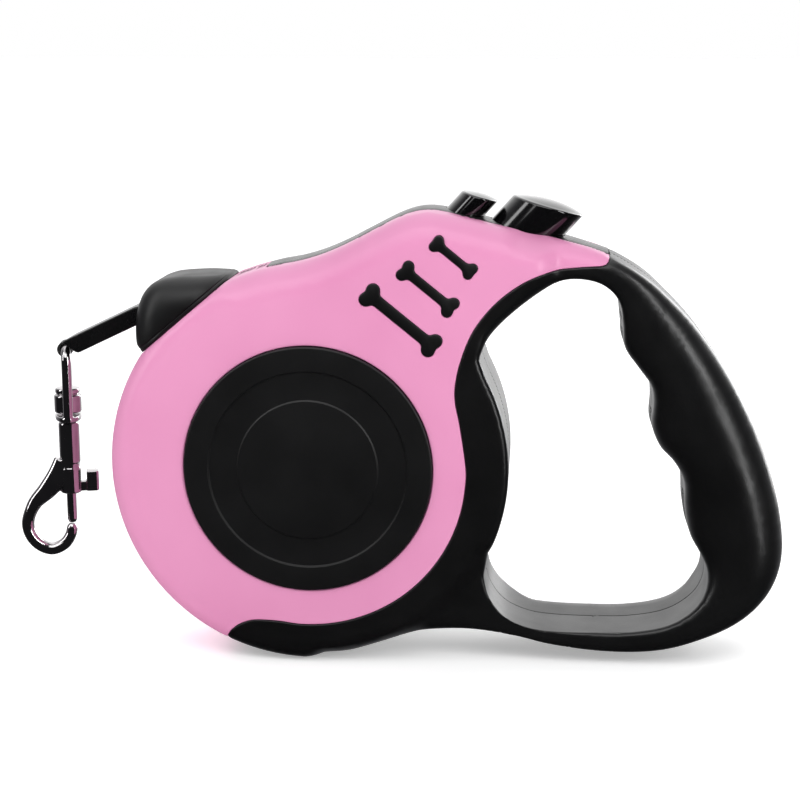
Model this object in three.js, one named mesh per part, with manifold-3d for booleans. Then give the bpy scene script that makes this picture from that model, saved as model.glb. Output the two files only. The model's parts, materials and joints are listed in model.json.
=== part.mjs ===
// Retractable tape leash: a round reel housing with a hand loop, two push buttons and a bolt snap.
// Millimetres, +Z up, +X towards the hand loop, front cover on the -Y side.
// Every sub-part is drawn round the reel's axis (the Y axis through the point 0, 0, 0), and the
// finished assembly is then lifted so that the origin is the bottom centre of its bounding box.

import * as THREE from 'three';
import { mergeVertices } from 'three/addons/utils/BufferGeometryUtils.js';
import Module from 'manifold-3d';

const wasm = await Module();
wasm.setup();

// ---------------------------------------------------------------- driving dimensions

const GAP = 0.3; // clearance kept between neighbouring pieces
const FAR = 90; // reach of a cutting block, well outside the part

// housing
const HOUSING_RADIUS = 46;
const HOUSING_HALF = 16.5; // half of the housing's thickness
const HOUSING_ROUND = 4;
const CHAMBER_RADIUS = 42.5;
const CHAMBER_HALF = 13.8;
const BUTTON_ROOM_HALF = 12.5;
const SKIN = 3; // wall above the room that holds the button gear

// hand loop
const HANDLE_HALF = 13;
const HANDLE_ROUND = 2;

// seam between the coloured shells and the black grip
const SEAM = { x: -0.4, z: -0.5, radius: 36.2, start: -104, end: 12 };

// round caps on both faces
const CAP_RADIUS = 28.3;
const CAP_FLOOR = 15.2; // bottom of the shell's recess, from the mid plane
const CAP_TOP = 17.2;
const CAP_DISH_RADIUS = 22.6;
const CAP_STEP = 0.35;

// tape: 3 m of webbing on the reel
const TAPE_WIDTH = 9.8;
const TAPE_THICK = 0.9;
const TAPE_LENGTH = 3000;
const HUB_RADIUS = 18;
const COIL_RADIUS = Math.sqrt(HUB_RADIUS ** 2 + (TAPE_LENGTH * TAPE_THICK) / Math.PI);

// reel
const FLANGE_RADIUS = 39.5;
const RATCHET_ROOT = 36.5;
const RATCHET_TEETH = 24;
const RATCHET_SLOT = 8; // degrees of each pitch that is open
const FLANGE_FRONT = [-8.3, -5.5];
const FLANGE_REAR = [5.5, 6.8];
const CUP_RADIUS = 31;
const CUP_END = 13.2;
const AXLE_RADIUS = 3;

// buttons slide along one radial direction of the reel
const BRAKE_BASE = [48.5, 53.3];
const LOCK_BASE = [34.8, 57.2];
const BRAKE_REACH = Math.hypot(...BRAKE_BASE);
const PUSH = [BRAKE_BASE[0] / BRAKE_REACH, BRAKE_BASE[1] / BRAKE_REACH];
const BUTTON_SLOPE = THREE.MathUtils.degToRad(16); // fall of the button tops towards +X
const BRAKE_SIZE = { a: 8.2, b: 7.8, height: 7.7, lip: 0.6, lipTop: -6.2, lipEnd: -7.4 };
const LOCK_SIZE = { a: 4.2, b: 5.6, height: 5.1, lip: 0.4, lipTop: -8.2, lipEnd: -9.2 };
const GUIDE = { top: -21.4, bottom: -23, left: -17.3, right: 4.6, half: 12.2 };
const LOCK_STEM_RADIUS = 1.3;
const PLUNGER = { across: 1.6, deep: 2.2 }; // half sizes of the plunger's bar

// exit nozzle, leash end and snap
const NOZZLE_HALF = 12.5;
const CHORD = [[-15.8, 44.4], [-39, 24.8]]; // flat on which the nozzle sits
const DROOP = THREE.MathUtils.degToRad(25.5); // fall of the leash end at the mouth
const SLEEVE = { x: -39.6, z: 33.6, length: 19.2, thick: 4.2, half: 5.8 };
const SNAP_X = -59.2;
const SNAP_YAW = THREE.MathUtils.degToRad(15);
const EYE = {
  top: 24.3, wire: 1.15, half: 4.9, corner: 2.4, base: 7.4, baseTop: 8.6, footHalf: 3.1, bore: 1.65,
};
const EYE_SIDES = 16; // sides of the round foot and its hole
const BARREL = { radius: 2.45, top: 7.1, bottom: -10.6, bore: 1.5, boreTop: 5.4 };
const BOLT_RADIUS = 1.15;

// ---------------------------------------------------------------- colours

const finish = (color, roughness, metalness) =>
  new THREE.MeshStandardMaterial({ color, roughness, metalness });
const PINK = finish(0xe79fca, 0.42, 0);
const BLACK = finish(0x17181a, 0.5, 0);
const GLOSS_BLACK = finish(0x101012, 0.16, 0);
const WEBBING = finish(0x151516, 0.85, 0);
const CHROME = finish(0xc9c6c8, 0.12, 1);
const STEEL = finish(0x9b9da1, 0.35, 1);
const BRASS = finish(0xb08d4c, 0.35, 1);
const NYLON = finish(0xe4e0d6, 0.55, 0);

// ---------------------------------------------------------------- solids and booleans

function signedVolume(position, index) {
  const corner = [new THREE.Vector3(), new THREE.Vector3(), new THREE.Vector3()];
  let total = 0;
  for (let i = 0; i < index.length; i += 3) {
    corner.forEach((point, k) => point.fromBufferAttribute(position, index[i + k]));
    total += corner[0].dot(corner[1].clone().cross(corner[2])) / 6;
  }
  return total;
}

function toSolid(geometry) {
  const bare = geometry.clone();
  bare.deleteAttribute('normal');
  bare.deleteAttribute('uv');
  const merged = mergeVertices(bare, 1e-4);
  const index = [];
  for (let i = 0; i < merged.index.count; i += 3) {
    const [a, b, c] = [0, 1, 2].map((k) => merged.index.getX(i + k));
    if (a !== b && b !== c && c !== a) index.push(a, b, c);
  }
  if (signedVolume(merged.attributes.position, index) < 0) index.reverse();
  const vertProperties = new Float32Array(merged.attributes.position.array);
  const mesh = new wasm.Mesh({ numProp: 3, vertProperties, triVerts: new Uint32Array(index) });
  return new wasm.Manifold(mesh);
}

function toMesh(name, solid, material) {
  const { vertProperties, triVerts } = solid.getMesh();
  const geometry = new THREE.BufferGeometry();
  geometry.setAttribute('position', new THREE.BufferAttribute(vertProperties, 3));
  geometry.setIndex(Array.from(triVerts));
  geometry.computeVertexNormals();
  const mesh = new THREE.Mesh(geometry, material);
  mesh.name = name;
  return mesh;
}

const cutAll = (solid, ...tools) => tools.reduce((left, tool) => left.subtract(tool), solid);
const joinAll = (solid, ...others) => others.reduce((sum, other) => sum.add(other), solid);

// ---------------------------------------------------------------- building blocks

const vectors = (points) => points.map(([x, z]) => new THREE.Vector2(x, z));

// a drawing in the X-Z plane, extruded along Y from low to high; round > 0 rounds both ends,
// and round < 0 flares them
function plate(shape, low, high, { round = 0, rows = 2, grow = 0, curve = 12 } = {}) {
  const reach = Math.abs(round);
  const geometry = new THREE.ExtrudeGeometry(shape, {
    depth: high - low - 2 * reach,
    curveSegments: curve,
    bevelEnabled: true,
    bevelThickness: reach,
    bevelSize: round,
    bevelOffset: grow - round,
    bevelSegments: reach > 0 ? rows : 0,
  });
  geometry.rotateX(Math.PI / 2);
  geometry.translate(0, high - reach, 0);
  return toSolid(geometry);
}

function block(x, y, z) {
  const geometry = new THREE.BoxGeometry(x[1] - x[0], y[1] - y[0], z[1] - z[0]);
  geometry.translate((x[0] + x[1]) / 2, (y[0] + y[1]) / 2, (z[0] + z[1]) / 2);
  return toSolid(geometry);
}

// a profile of [radius, height] points turned round the Y axis
function turned(profile, segments = 32) {
  return new THREE.LatheGeometry(vectors(profile), segments);
}

const tube = (inner, outer, low, high, segments) =>
  toSolid(turned([[inner, low], [outer, low], [outer, high], [inner, high], [inner, low]], segments));
const rod = (radius, low, high, segments) =>
  toSolid(turned([[0, low], [radius, low], [radius, high], [0, high]], segments));

const circle = (x, z, radius) => new THREE.Shape().absarc(x, z, radius, 0, 2 * Math.PI);

function polygon(points) {
  return new THREE.Shape(vectors(points));
}

// points moved sideways by a distance, to the left of the drawing direction
function offsetLine(points, distance) {
  return points.map(([x, z], i) => {
    const [x0, z0] = points[Math.max(i - 1, 0)];
    const [x1, z1] = points[Math.min(i + 1, points.length - 1)];
    const length = Math.hypot(x1 - x0, z1 - z0);
    return [x - ((z1 - z0) / length) * distance, z + ((x1 - x0) / length) * distance];
  });
}

// a band of even thickness along a line of points
function strip(points, thickness) {
  const left = offsetLine(points, thickness / 2);
  const right = offsetLine(points, -thickness / 2).reverse();
  return polygon([...left, ...right]);
}

class Helix extends THREE.Curve {
  constructor(radius, pitch, turns) {
    super();
    Object.assign(this, { radius, pitch, turns });
  }

  getPoint(t, target = new THREE.Vector3()) {
    const angle = 2 * Math.PI * this.turns * t;
    const height = this.pitch * this.turns * t;
    return target.set(this.radius * Math.cos(angle), height, this.radius * Math.sin(angle));
  }
}

// a wire or bar of round section that follows a curve
function wire(path, radius, steps, sides = 8) {
  const section = new THREE.Shape(
    Array.from({ length: sides }, (_, i) => {
      const angle = (2 * Math.PI * i) / sides;
      return new THREE.Vector2(radius * Math.cos(angle), radius * Math.sin(angle));
    }),
  );
  return new THREE.ExtrudeGeometry(section, { steps, extrudePath: path, bevelEnabled: false });
}

// a coil spring standing on the Y axis
function coilSpring(meanRadius, wireRadius, low, high, turns) {
  const pitch = (high - low - 2 * wireRadius) / turns;
  const geometry = wire(new Helix(meanRadius, pitch, turns), wireRadius, turns * 8, 4);
  return geometry.translate(0, low + wireRadius, 0);
}

// ---------------------------------------------------------------- outlines

const TOP_LINE = [
  [66, 48.8], [56.6, 51.6], [41.8, 54.9], [34, 56.8], [27.1, 58], [21.3, 56.9],
  [13.4, 53], [8.2, 50.3], [2.9, 48], [-2.3, 46.4], [-7, 45.5],
];
const LOOP_BACK = [
  [3, -45.7], [9, -45], [15.9, -42.8], [24.5, -40.1], [33.7, -38.7], [41.1, -38.7],
  [48.5, -39.8], [55.4, -41.5], [64.9, -43], [74.3, -43.3], [82, -42.5], [89.5, -40.3],
  [96.9, -37.2], [102, -33.6], [105.8, -28.9], [107.9, -23.2], [108.2, -16.8], [106.8, -8.2],
  [103.9, 1.5], [100.2, 10.6], [95.6, 19.4], [91.6, 25.7], [86.4, 32.8], [81.3, 38.2],
  [74.8, 43.9], [66, 48.8],
];
const LOOP_HOLE = [
  [38.5, 25.8], [40.3, 30], [44.3, 34.6], [49.6, 39], [55.7, 42.7], [61, 43.3], [66, 41.9],
  [69.4, 38.2], [70.4, 32.6], [71, 27.6], [74.5, 22.6], [77.2, 18.8], [77.8, 14.6],
  [77.6, 9.6], [79.6, 4.6], [82.9, 1.1], [85.2, -3.2], [85.7, -9.4], [87, -15.8],
  [89.3, -19.9], [91, -23.8], [90.6, -28.6], [87.8, -32.8], [82.2, -36.3], [74, -38],
  [65, -38.3], [56, -38.1], [50, -37.2], [44.6, -34.6], [41.2, -30.2], [39.9, -25.4],
];
const HOLE_ARC = { radius: 45.4, start: -27, end: 29.5 }; // the drum's wall inside the loop

// points on a circle's arc, from one angle to another in degrees
function arc({ x = 0, z = 0, radius, start, end }, steps) {
  return Array.from({ length: steps + 1 }, (_, i) => {
    const angle = THREE.MathUtils.degToRad(start + ((end - start) * i) / steps);
    return [x + radius * Math.cos(angle), z + radius * Math.sin(angle)];
  });
}

function housingOutline() {
  const drum = arc({ radius: HOUSING_RADIUS, start: 101, end: 388 }, 52);
  const corner = [
    [43, 30], [49.5, 36.8], [53.4, 41], [55.3, 44.2],
    [55.7, 47.4], [54.6, 50.2], [52, 52.2], [48, 53.5],
  ];
  return polygon([...drum, ...corner, ...TOP_LINE.slice(2)]);
}

const holePoints = () => [...arc(HOLE_ARC, 10), ...LOOP_HOLE];

function loopOutline() {
  return polygon([[0, -30], ...LOOP_BACK.slice(0, -1), ...TOP_LINE, [-7, 30]]);
}

// everything on the coloured side of the seam
function colouredSide() {
  const tail = [[-19.8, -42.5], [-19.2, -40.1], [-17.6, -38], [-15.2, -36.6], [-12.2, -35.9]];
  const rise = [
    [34.4, 10.4], [33.3, 16], [33.3, 20], [34.4, 25.2], [36.6, 31], [39.6, 35.6], [43.8, 39.9],
    [49.2, 43.5], [55, 45.4], [61, 46.1], [66, 46.5], [67, 47.4],
  ];
  const around = [[67, 60], [-60, 60], [-60, -60], [-24, -60]];
  return polygon([...tail, ...arc(SEAM, 28), ...rise, ...around]);
}

// room for the buttons' gear, between the reel chamber and the top skin
function buttonRoom() {
  const ceiling = offsetLine(TOP_LINE.slice(1), SKIN);
  return polygon([[36.2, 27], [38, 31.5], [42.6, 36.8], [48.3, 41.3], [54.4, 45.4], ...ceiling, [-4, 38]]);
}

function beyondChord(shift) {
  const [[ax, az], [bx, bz]] = CHORD;
  const length = Math.hypot(bx - ax, bz - az);
  const along = [(bx - ax) / length, (bz - az) / length];
  const out = [along[1], -along[0]];
  const corner = (base, reach, away) => [
    base[0] + along[0] * reach + out[0] * away,
    base[1] + along[1] * reach + out[1] * away,
  ];
  const ends = [[CHORD[0], -6], [CHORD[1], 6]];
  return polygon([
    corner(...ends[0], shift), corner(...ends[0], 30), corner(...ends[1], 30), corner(...ends[1], shift),
  ]);
}

// ---------------------------------------------------------------- button frame

// a point given by its distance along the push direction and across it
function alongPush([x, z], distance, across = 0) {
  return [x + PUSH[0] * distance + PUSH[1] * across, z + PUSH[1] * distance - PUSH[0] * across];
}

// an oblique cylinder: an ellipse parallel to the button tops, swept along the push direction
function obliqueCylinder(base, a, b, low, high, segments = 32) {
  const geometry = new THREE.CylinderGeometry(1, 1, 1, segments);
  const middle = alongPush(base, (low + high) / 2);
  const length = high - low;
  geometry.applyMatrix4(new THREE.Matrix4().makeBasis(
    new THREE.Vector3(a * Math.cos(BUTTON_SLOPE), 0, -a * Math.sin(BUTTON_SLOPE)),
    new THREE.Vector3(PUSH[0] * length, 0, PUSH[1] * length),
    new THREE.Vector3(0, b, 0),
  ));
  geometry.translate(middle[0], 0, middle[1]);
  return toSolid(geometry);
}

// moves a piece drawn round the Y axis so that its axis is the push direction
function onPushAxis(geometry, base) {
  geometry.rotateX(Math.PI / 2);
  geometry.rotateY(Math.atan2(PUSH[0], PUSH[1]));
  return toSolid(geometry.translate(base[0], 0, base[1]));
}

// a bar along the push direction: low..high along it, half sizes across it and along Y
function pushBar(base, low, high, across, y) {
  const sides = [[low, -across], [low, across], [high, across], [high, -across]];
  return plate(polygon(sides.map(([s, t]) => alongPush(base, s, t))), y[0], y[1]);
}

const buttonHole = (base, size) =>
  obliqueCylinder(base, size.a + GAP, size.b + GAP, size.lipTop + 0.1, 7, 28);

// ---------------------------------------------------------------- fasteners

const SCREW_HEAD = 2.3;
const SCREW_SHANK = 1.3;
const SCREWS = {
  screw_grip_upper: [76.5, 35.5],
  screw_grip_middle: [93, 2],
  screw_grip_lower: [99, -24],
  screw_housing_lower: [38.6, -33.6],
};
const SCREW_SEAT = 8; // the heads sit this far from the mid plane
const SCREW_TIP = -9;

const screwHoles = () =>
  Object.values(SCREWS).map(([x, z]) => joinAll(
    rod(SCREW_SHANK + GAP, SCREW_TIP - GAP, SCREW_SEAT + 1, 10),
    rod(SCREW_HEAD + GAP, SCREW_SEAT, FAR, 14),
  ).translate([x, 0, z]));

function screw(shank, head, tip, seat, headHeight, recess) {
  const body = joinAll(rod(shank, tip, seat + GAP, 8), rod(head, seat + GAP, seat + headHeight, 12));
  const slot = [seat + headHeight - recess, seat + headHeight + 1];
  return cutAll(
    body,
    block([-head * 0.6, head * 0.6], slot, [-0.35, 0.35]),
    block([-0.35, 0.35], slot, [-head * 0.6, head * 0.6]),
  );
}

// ---------------------------------------------------------------- bones

const BONE_TURN = THREE.MathUtils.degToRad(-38.9);
const BONES = {
  large: { x: 21.1, z: 34.4, length: 17.8, spread: 2.7, lobe: 1.6, shaft: 2.5 },
  medium: { x: 27.1, z: 41.4, length: 12.9, spread: 2.5, lobe: 1.35, shaft: 2 },
  small: { x: 32.7, z: 48.4, length: 9.7, spread: 1.9, lobe: 1.15, shaft: 1.7 },
};
const BONE_FLOOR = 15.3;
const BONE_TOP = 16.8;

// a shaft with two lobes at each end
function bone({ x, z, length, spread, lobe, shaft }, low, high, grow) {
  const ends = [[-1, -1], [-1, 1], [1, -1], [1, 1]];
  const lobes = ends.map(([i, k]) =>
    plate(circle((i * length) / 2, (k * spread) / 2, lobe + grow), low, high, { curve: 4 }));
  const bar = [[-1, -1], [1, -1], [1, 1], [-1, 1]].map(([i, k]) =>
    [(i * length) / 2, k * (shaft / 2 + grow)]);
  const turn = (BONE_TURN * 180) / Math.PI;
  return joinAll(plate(polygon(bar), low, high), ...lobes).rotate([0, -turn, 0]).translate([x, 0, z]);
}

// ---------------------------------------------------------------- shells, grip and top strip

const FRONT = [-FAR, -GAP / 2];
const REAR = [GAP / 2, FAR];
const halfSpace = (side) => block([-FAR, 2 * FAR], side, [-FAR, FAR]);

function wholeBody() {
  const housing = plate(housingOutline(), -HOUSING_HALF, HOUSING_HALF, { round: HOUSING_ROUND });
  const loop = plate(loopOutline(), -HANDLE_HALF, HANDLE_HALF, { round: HANDLE_ROUND, rows: 1 });
  const hole = polygon(holePoints());
  const flared = plate(hole, -HANDLE_HALF - 0.1, HANDLE_HALF + 0.1, { round: -HANDLE_ROUND, rows: 1 });
  const beside = [plate(hole, -FAR, -HANDLE_HALF, { grow: HANDLE_ROUND })];
  beside.push(plate(hole, HANDLE_HALF, FAR, { grow: HANDLE_ROUND }));
  return cutAll(housing.add(loop), flared, ...beside);
}

// the strip between the shells: its top face is the body's top line
const STRIP_HALF = 6.3;
const STRIP_LINE = [[62, 50.1], ...TOP_LINE.slice(1), [-12.7, 44.1]];
const SHELF_HALF = 11; // a wider shelf under the shells' skin holds the strip together
const SHELF_LINE = [[58.6, 51.1], ...TOP_LINE.slice(1, 6)];
const SHELF_ROOM_LINE = [[59.1, 51], ...TOP_LINE.slice(1, 7)];
const SHELF_TOP = SKIN + GAP;
const SHELF_BOTTOM = SHELF_TOP + 1.6;

// a band under a line, between two depths
function band(line, from, to, half) {
  return plate(polygon([...offsetLine(line, from), ...offsetLine(line, to).reverse()]), -half, half);
}

function topStrip() {
  return cutAll(
    joinAll(
      band(STRIP_LINE, 0, SKIN, STRIP_HALF),
      band(SHELF_LINE, SKIN - GAP, SHELF_TOP + GAP, STRIP_HALF),
      band(SHELF_LINE, SHELF_TOP, SHELF_BOTTOM, SHELF_HALF),
    ),
    buttonHole(BRAKE_BASE, BRAKE_SIZE),
    buttonHole(LOCK_BASE, LOCK_SIZE),
  );
}

function stripRoom() {
  const half = STRIP_HALF + GAP;
  return joinAll(
    band(STRIP_LINE, -5, SKIN + GAP, half),
    block([61.9, 62 + GAP], [-half, half], [46, 56]),
    band(SHELF_ROOM_LINE, SKIN, SHELF_BOTTOM + GAP, SHELF_HALF + GAP),
  );
}

const TAPE_LINE = [[0, COIL_RADIUS + 0.75], [-30, COIL_RADIUS + 0.72], [-35.6, 34.65], [-39.1, 33.5]];
const CHANNEL_HALF = 5.6;
const POCKET_HALF = 6.4;

const tapeChannel = () => block([-44, -18], [-CHANNEL_HALF, CHANNEL_HALF], [34, 36.2]);
const mouthPocket = () => block([-44, -36], [-POCKET_HALF, POCKET_HALF], [29.5, 36.2]);

function innerRooms() {
  return [
    rod(CHAMBER_RADIUS, -CHAMBER_HALF, CHAMBER_HALF, 40),
    plate(buttonRoom(), -BUTTON_ROOM_HALF, BUTTON_ROOM_HALF),
    tapeChannel(),
  ];
}

const BOSS = { outer: 4.6, front: -9, rear: 11.5 };

function axleBoss(side) {
  return side === FRONT
    ? tube(AXLE_RADIUS + GAP, BOSS.outer, -CHAMBER_HALF - 0.1, BOSS.front, 16)
    : tube(AXLE_RADIUS + GAP, BOSS.outer, BOSS.rear, CHAMBER_HALF + 0.1, 16);
}

function colouredShell(side, sign) {
  const outline = plate(colouredSide(), -FAR, FAR, { grow: -GAP / 2 });
  const shell = wholeBody().intersect(outline).intersect(halfSpace(side));
  const span = (low, high) => (sign < 0 ? [-high, -low] : [low, high]);
  const recess = rod(CAP_RADIUS + GAP, ...span(CAP_FLOOR, FAR), 40);
  const pockets = Object.values(BONES).map((size) => bone(size, ...span(BONE_FLOOR - GAP, FAR), 0.2));
  const open = cutAll(
    shell,
    ...innerRooms(),
    plate(beyondChord(-GAP / 2), -FAR, FAR),
    stripRoom(),
    buttonHole(BRAKE_BASE, BRAKE_SIZE),
    buttonHole(LOCK_BASE, LOCK_SIZE),
    recess,
    ...pockets,
  );
  const bossed = open.add(axleBoss(side));
  return sign > 0 ? bossed.subtract(rod(AXLE_SCREW.shank + GAP, 0, FAR, 12)) : bossed;
}

// hollows that lighten the grip, from the parting plane outwards
const GRIP_HOLLOWS = [
  { x: 85.6, z: 19.4, a: 10.5, b: 4.2, turn: -58 },
  { x: 96.4, z: -11, a: 8, b: 5, turn: -76 },
];
const GRIP_HOLLOW_HALF = 9.5;

function gripHalf(side) {
  const outline = plate(colouredSide(), -FAR, FAR, { grow: GAP / 2 });
  const half = wholeBody().subtract(outline).intersect(halfSpace(side));
  const hollows = GRIP_HOLLOWS.map(({ x, z, a, b, turn }) => {
    const ellipse = new THREE.Shape().absellipse(x, z, a, b, 0, 2 * Math.PI, false, (turn * Math.PI) / 180);
    return plate(ellipse, -GRIP_HOLLOW_HALF, GRIP_HOLLOW_HALF, { curve: 8 });
  });
  return cutAll(half, ...innerRooms(), stripRoom(), ...hollows, ...screwHoles());
}

function nozzle() {
  const crown = [
    [-17.2, 43.2], [-19.6, 43], [-25, 42.8], [-28, 42.6], [-31, 42.4], [-33.6, 42],
    [-36.3, 40.9], [-38.2, 39.1], [-39.4, 36.9], [-40.2, 34.2], [-40.5, 31.2], [-40.5, 28.6],
    [-40.2, 26.6], [-39.3, 24.6],
  ];
  const inside = [[-34, 22], [-12, 38]];
  const dome = plate(polygon([...crown, ...inside]), -NOZZLE_HALF, NOZZLE_HALF, { round: 3 });
  const seat = beyondChord(GAP / 2);
  return cutAll(dome.intersect(plate(seat, -FAR, FAR)), tapeChannel(), mouthPocket());
}

function cap(sign) {
  const profile = [
    [0, CAP_FLOOR + 1.1], [4, CAP_FLOOR + 1.1], [4, CAP_FLOOR + 0.2], [CAP_RADIUS, CAP_FLOOR + 0.2],
    [CAP_RADIUS, CAP_TOP - 0.5], [CAP_RADIUS - 0.6, CAP_TOP], [CAP_DISH_RADIUS, CAP_TOP],
    [CAP_DISH_RADIUS - 0.4, CAP_TOP - CAP_STEP], [0, CAP_TOP - CAP_STEP],
  ];
  return toSolid(turned(profile.map(([r, y]) => [r, y * sign]), 40));
}

// ---------------------------------------------------------------- reel and tape

const AXLE_SCREW = { shank: 1.1, head: 2.8, tip: -7, seat: 15.2 };

function ratchetFlange() {
  const pitch = (2 * Math.PI) / RATCHET_TEETH;
  const open = THREE.MathUtils.degToRad(RATCHET_SLOT);
  const aim = Math.atan2(PUSH[1], PUSH[0]); // a slot faces the plunger at rest
  const points = [];
  for (let i = 0; i < RATCHET_TEETH; i += 1) {
    const middle = aim + i * pitch;
    const corners = [
      [RATCHET_ROOT, middle - open / 2], [RATCHET_ROOT, middle + open / 2],
      [FLANGE_RADIUS, middle + open / 2], [FLANGE_RADIUS, middle + pitch - open / 2],
    ];
    points.push(...corners.map(([r, angle]) => [r * Math.cos(angle), r * Math.sin(angle)]));
  }
  return plate(polygon(points), ...FLANGE_FRONT);
}

const BUSH_OUTER = 4.6;
const BUSH_BORE = AXLE_RADIUS + 0.08;

function reelDrum() {
  const hub = tube(HUB_RADIUS - 1.8, HUB_RADIUS, FLANGE_FRONT[1] - 0.5, FLANGE_REAR[0] - GAP, 32);
  const boss = tube(BUSH_OUTER + 0.05, 6.6, FLANGE_FRONT[0], -1.5, 16);
  const rim = ratchetFlange().subtract(rod(BUSH_OUTER + 0.05, -20, 20, 16));
  const windows = [0, 1, 2, 3, 4, 5].map((i) => {
    const angle = (i * Math.PI) / 3;
    return plate(circle(11.4 * Math.cos(angle), 11.4 * Math.sin(angle), 2.8), -20, 0, { curve: 5 });
  });
  return cutAll(joinAll(rim, hub, boss), ...windows);
}

function springCup() {
  const flange = tube(BUSH_OUTER + 0.05, FLANGE_RADIUS - 0.5, ...FLANGE_REAR, 40);
  const wall = tube(CUP_RADIUS - 1.5, CUP_RADIUS, FLANGE_REAR[1] - 0.2, CUP_END, 32);
  const spigot = tube(HUB_RADIUS - 4.2, HUB_RADIUS - 2.1, 0.5, FLANGE_REAR[0] + 0.2, 24);
  return joinAll(flange, wall, spigot);
}

const SPRING_TURNS = 5;
const SPRING_STEPS = 16; // per turn
const SPRING_INNER = 5.2;
const SPRING_OUTER = CUP_RADIUS - 2.4;

function retractSpring() {
  const count = SPRING_TURNS * SPRING_STEPS;
  const points = Array.from({ length: count + 1 }, (_, i) => {
    const radius = SPRING_INNER + ((SPRING_OUTER - SPRING_INNER) * i) / count;
    const angle = (2 * Math.PI * i) / SPRING_STEPS;
    return [radius * Math.cos(angle), radius * Math.sin(angle)];
  });
  return plate(strip(points, 0.5), 7.1, 11.8);
}

function tapeRun() {
  const line = new THREE.SplineCurve(vectors(TAPE_LINE)).getPoints(12).map((p) => [p.x, p.y]);
  return plate(strip(line, TAPE_THICK), -TAPE_WIDTH / 2, TAPE_WIDTH / 2);
}

// ---------------------------------------------------------------- leash end

// a point along the drooping leash end, with a height above its centre line
function alongSleeve(distance, height) {
  const [c, s] = [Math.cos(DROOP), Math.sin(DROOP)];
  return [SLEEVE.x - distance * c - height * s, SLEEVE.z - distance * s + height * c];
}

function sleeveBar(from, to, low, high, half) {
  const corners = [[from, low], [to, low], [to, high], [from, high]];
  return plate(polygon(corners.map(([d, h]) => alongSleeve(d, h))), -half, half);
}

const LOOP_HALF = 2.2;
const LOOP_INNER = 1.5;
const LOOP_OUTER = 2.3;

function endSleeve() {
  const { length, thick, half } = SLEEVE;
  const bar = sleeveBar(0, length, -thick / 2, thick / 2, half);
  const loopPocket = sleeveBar(length - 1.8, length + 1, -0.8, 0.8, LOOP_HALF + 0.9);
  return cutAll(bar, loopPocket);
}

function tapeLoop() {
  const centre = [SNAP_X, EYE.top];
  const ring = plate(circle(...centre, LOOP_OUTER), -LOOP_HALF, LOOP_HALF, { curve: 10 });
  const tail = [[0, 0.4], [0, -0.4], [4.1, -0.4], [4.1, 0.4]].map(([d, h]) => [
    centre[0] + d * Math.cos(DROOP) - h * Math.sin(DROOP),
    centre[1] + d * Math.sin(DROOP) + h * Math.cos(DROOP),
  ]);
  const solid = joinAll(ring, plate(polygon(tail), -LOOP_HALF, LOOP_HALF));
  const hole = plate(circle(...centre, LOOP_INNER), -FAR, FAR, { curve: 10 });
  return solid.subtract(hole).translate([-SNAP_X, 0, 0]).rotate([0, 0, 8]).translate([SNAP_X, 0, 0]);
}

// ---------------------------------------------------------------- snap: drawn round the Z axis

const uprightTurned = (profile, segments) => toSolid(turned(profile, segments).rotateX(Math.PI / 2));

// turns the finished snap piece to its resting yaw under the loop
const hang = (solid) =>
  solid.rotate([0, 0, THREE.MathUtils.radToDeg(SNAP_YAW)]).translate([SNAP_X, 0, 0]);

function snapEye() {
  const { top, wire: radius, half, corner, base, baseTop, footHalf, bore } = EYE;
  const path = new THREE.CurvePath();
  const at = (y, z) => new THREE.Vector3(0, y, z);
  const rounded = (from, knee, to) => new THREE.QuadraticBezierCurve3(at(...from), at(...knee), at(...to));
  path.add(new THREE.LineCurve3(at(-half, base + 0.5), at(-half, top - corner)));
  path.add(rounded([-half, top - corner], [-half, top], [-half + corner, top]));
  path.add(new THREE.LineCurve3(at(-half + corner, top), at(half - corner, top)));
  path.add(rounded([half - corner, top], [half, top], [half, top - corner]));
  path.add(new THREE.LineCurve3(at(half, top - corner), at(half, base + 0.5)));
  const bow = toSolid(wire(path, radius, 28));
  const outline = Array.from({ length: EYE_SIDES }, (_, i) => {
    const angle = (2 * Math.PI * i) / EYE_SIDES;
    return [footHalf * Math.cos(angle), (half + radius) * Math.sin(angle)];
  });
  const foot = plate(polygon(outline), -baseTop, -base).rotate([-90, 0, 0]);
  const [under, over] = [base - 1, baseTop + 0.2];
  const hole = uprightTurned([[0, under], [bore, under], [bore, over], [0, over]], EYE_SIDES);
  return hang(joinAll(bow, foot).subtract(hole));
}

function snapBody() {
  const { radius, top, bottom, bore, boreTop } = BARREL;
  const profile = [
    [bore, bottom], [radius, bottom], [radius, top - 0.5], [radius - 0.5, top], [1.3, top],
    [1.3, 9], [3.2, 9], [3.2, 13.3], [2.3, 13.45], [2.9, 13.8], [2.9, 14.7], [2.5, 15], [0, 15],
    [0, boreTop], [bore, boreTop], [bore, bottom],
  ];
  const barrel = uprightTurned(profile, 16);
  const slot = block([0, 4], [-1, 1], [bottom - 1, -2.3]);
  const hookLine = [
    [-1.9, -5.4], [-5.2, -9.4], [-8.7, -13], [-10.5, -17.2], [-9.9, -20.6], [-7.9, -23.2],
    [-5, -24.4], [-2.1, -23.3], [-0.3, -20.9], [0, -18.4],
  ].map(([x, z]) => new THREE.Vector3(x, 0, z));
  const hook = toSolid(wire(new THREE.CatmullRomCurve3(hookLine), 1.4, 20, 8));
  const clearBore = uprightTurned([[0, -15], [bore, -15], [bore, boreTop - 1], [0, boreTop - 1]], 16);
  return hang(cutAll(joinAll(barrel, hook), clearBore, slot));
}

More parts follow.
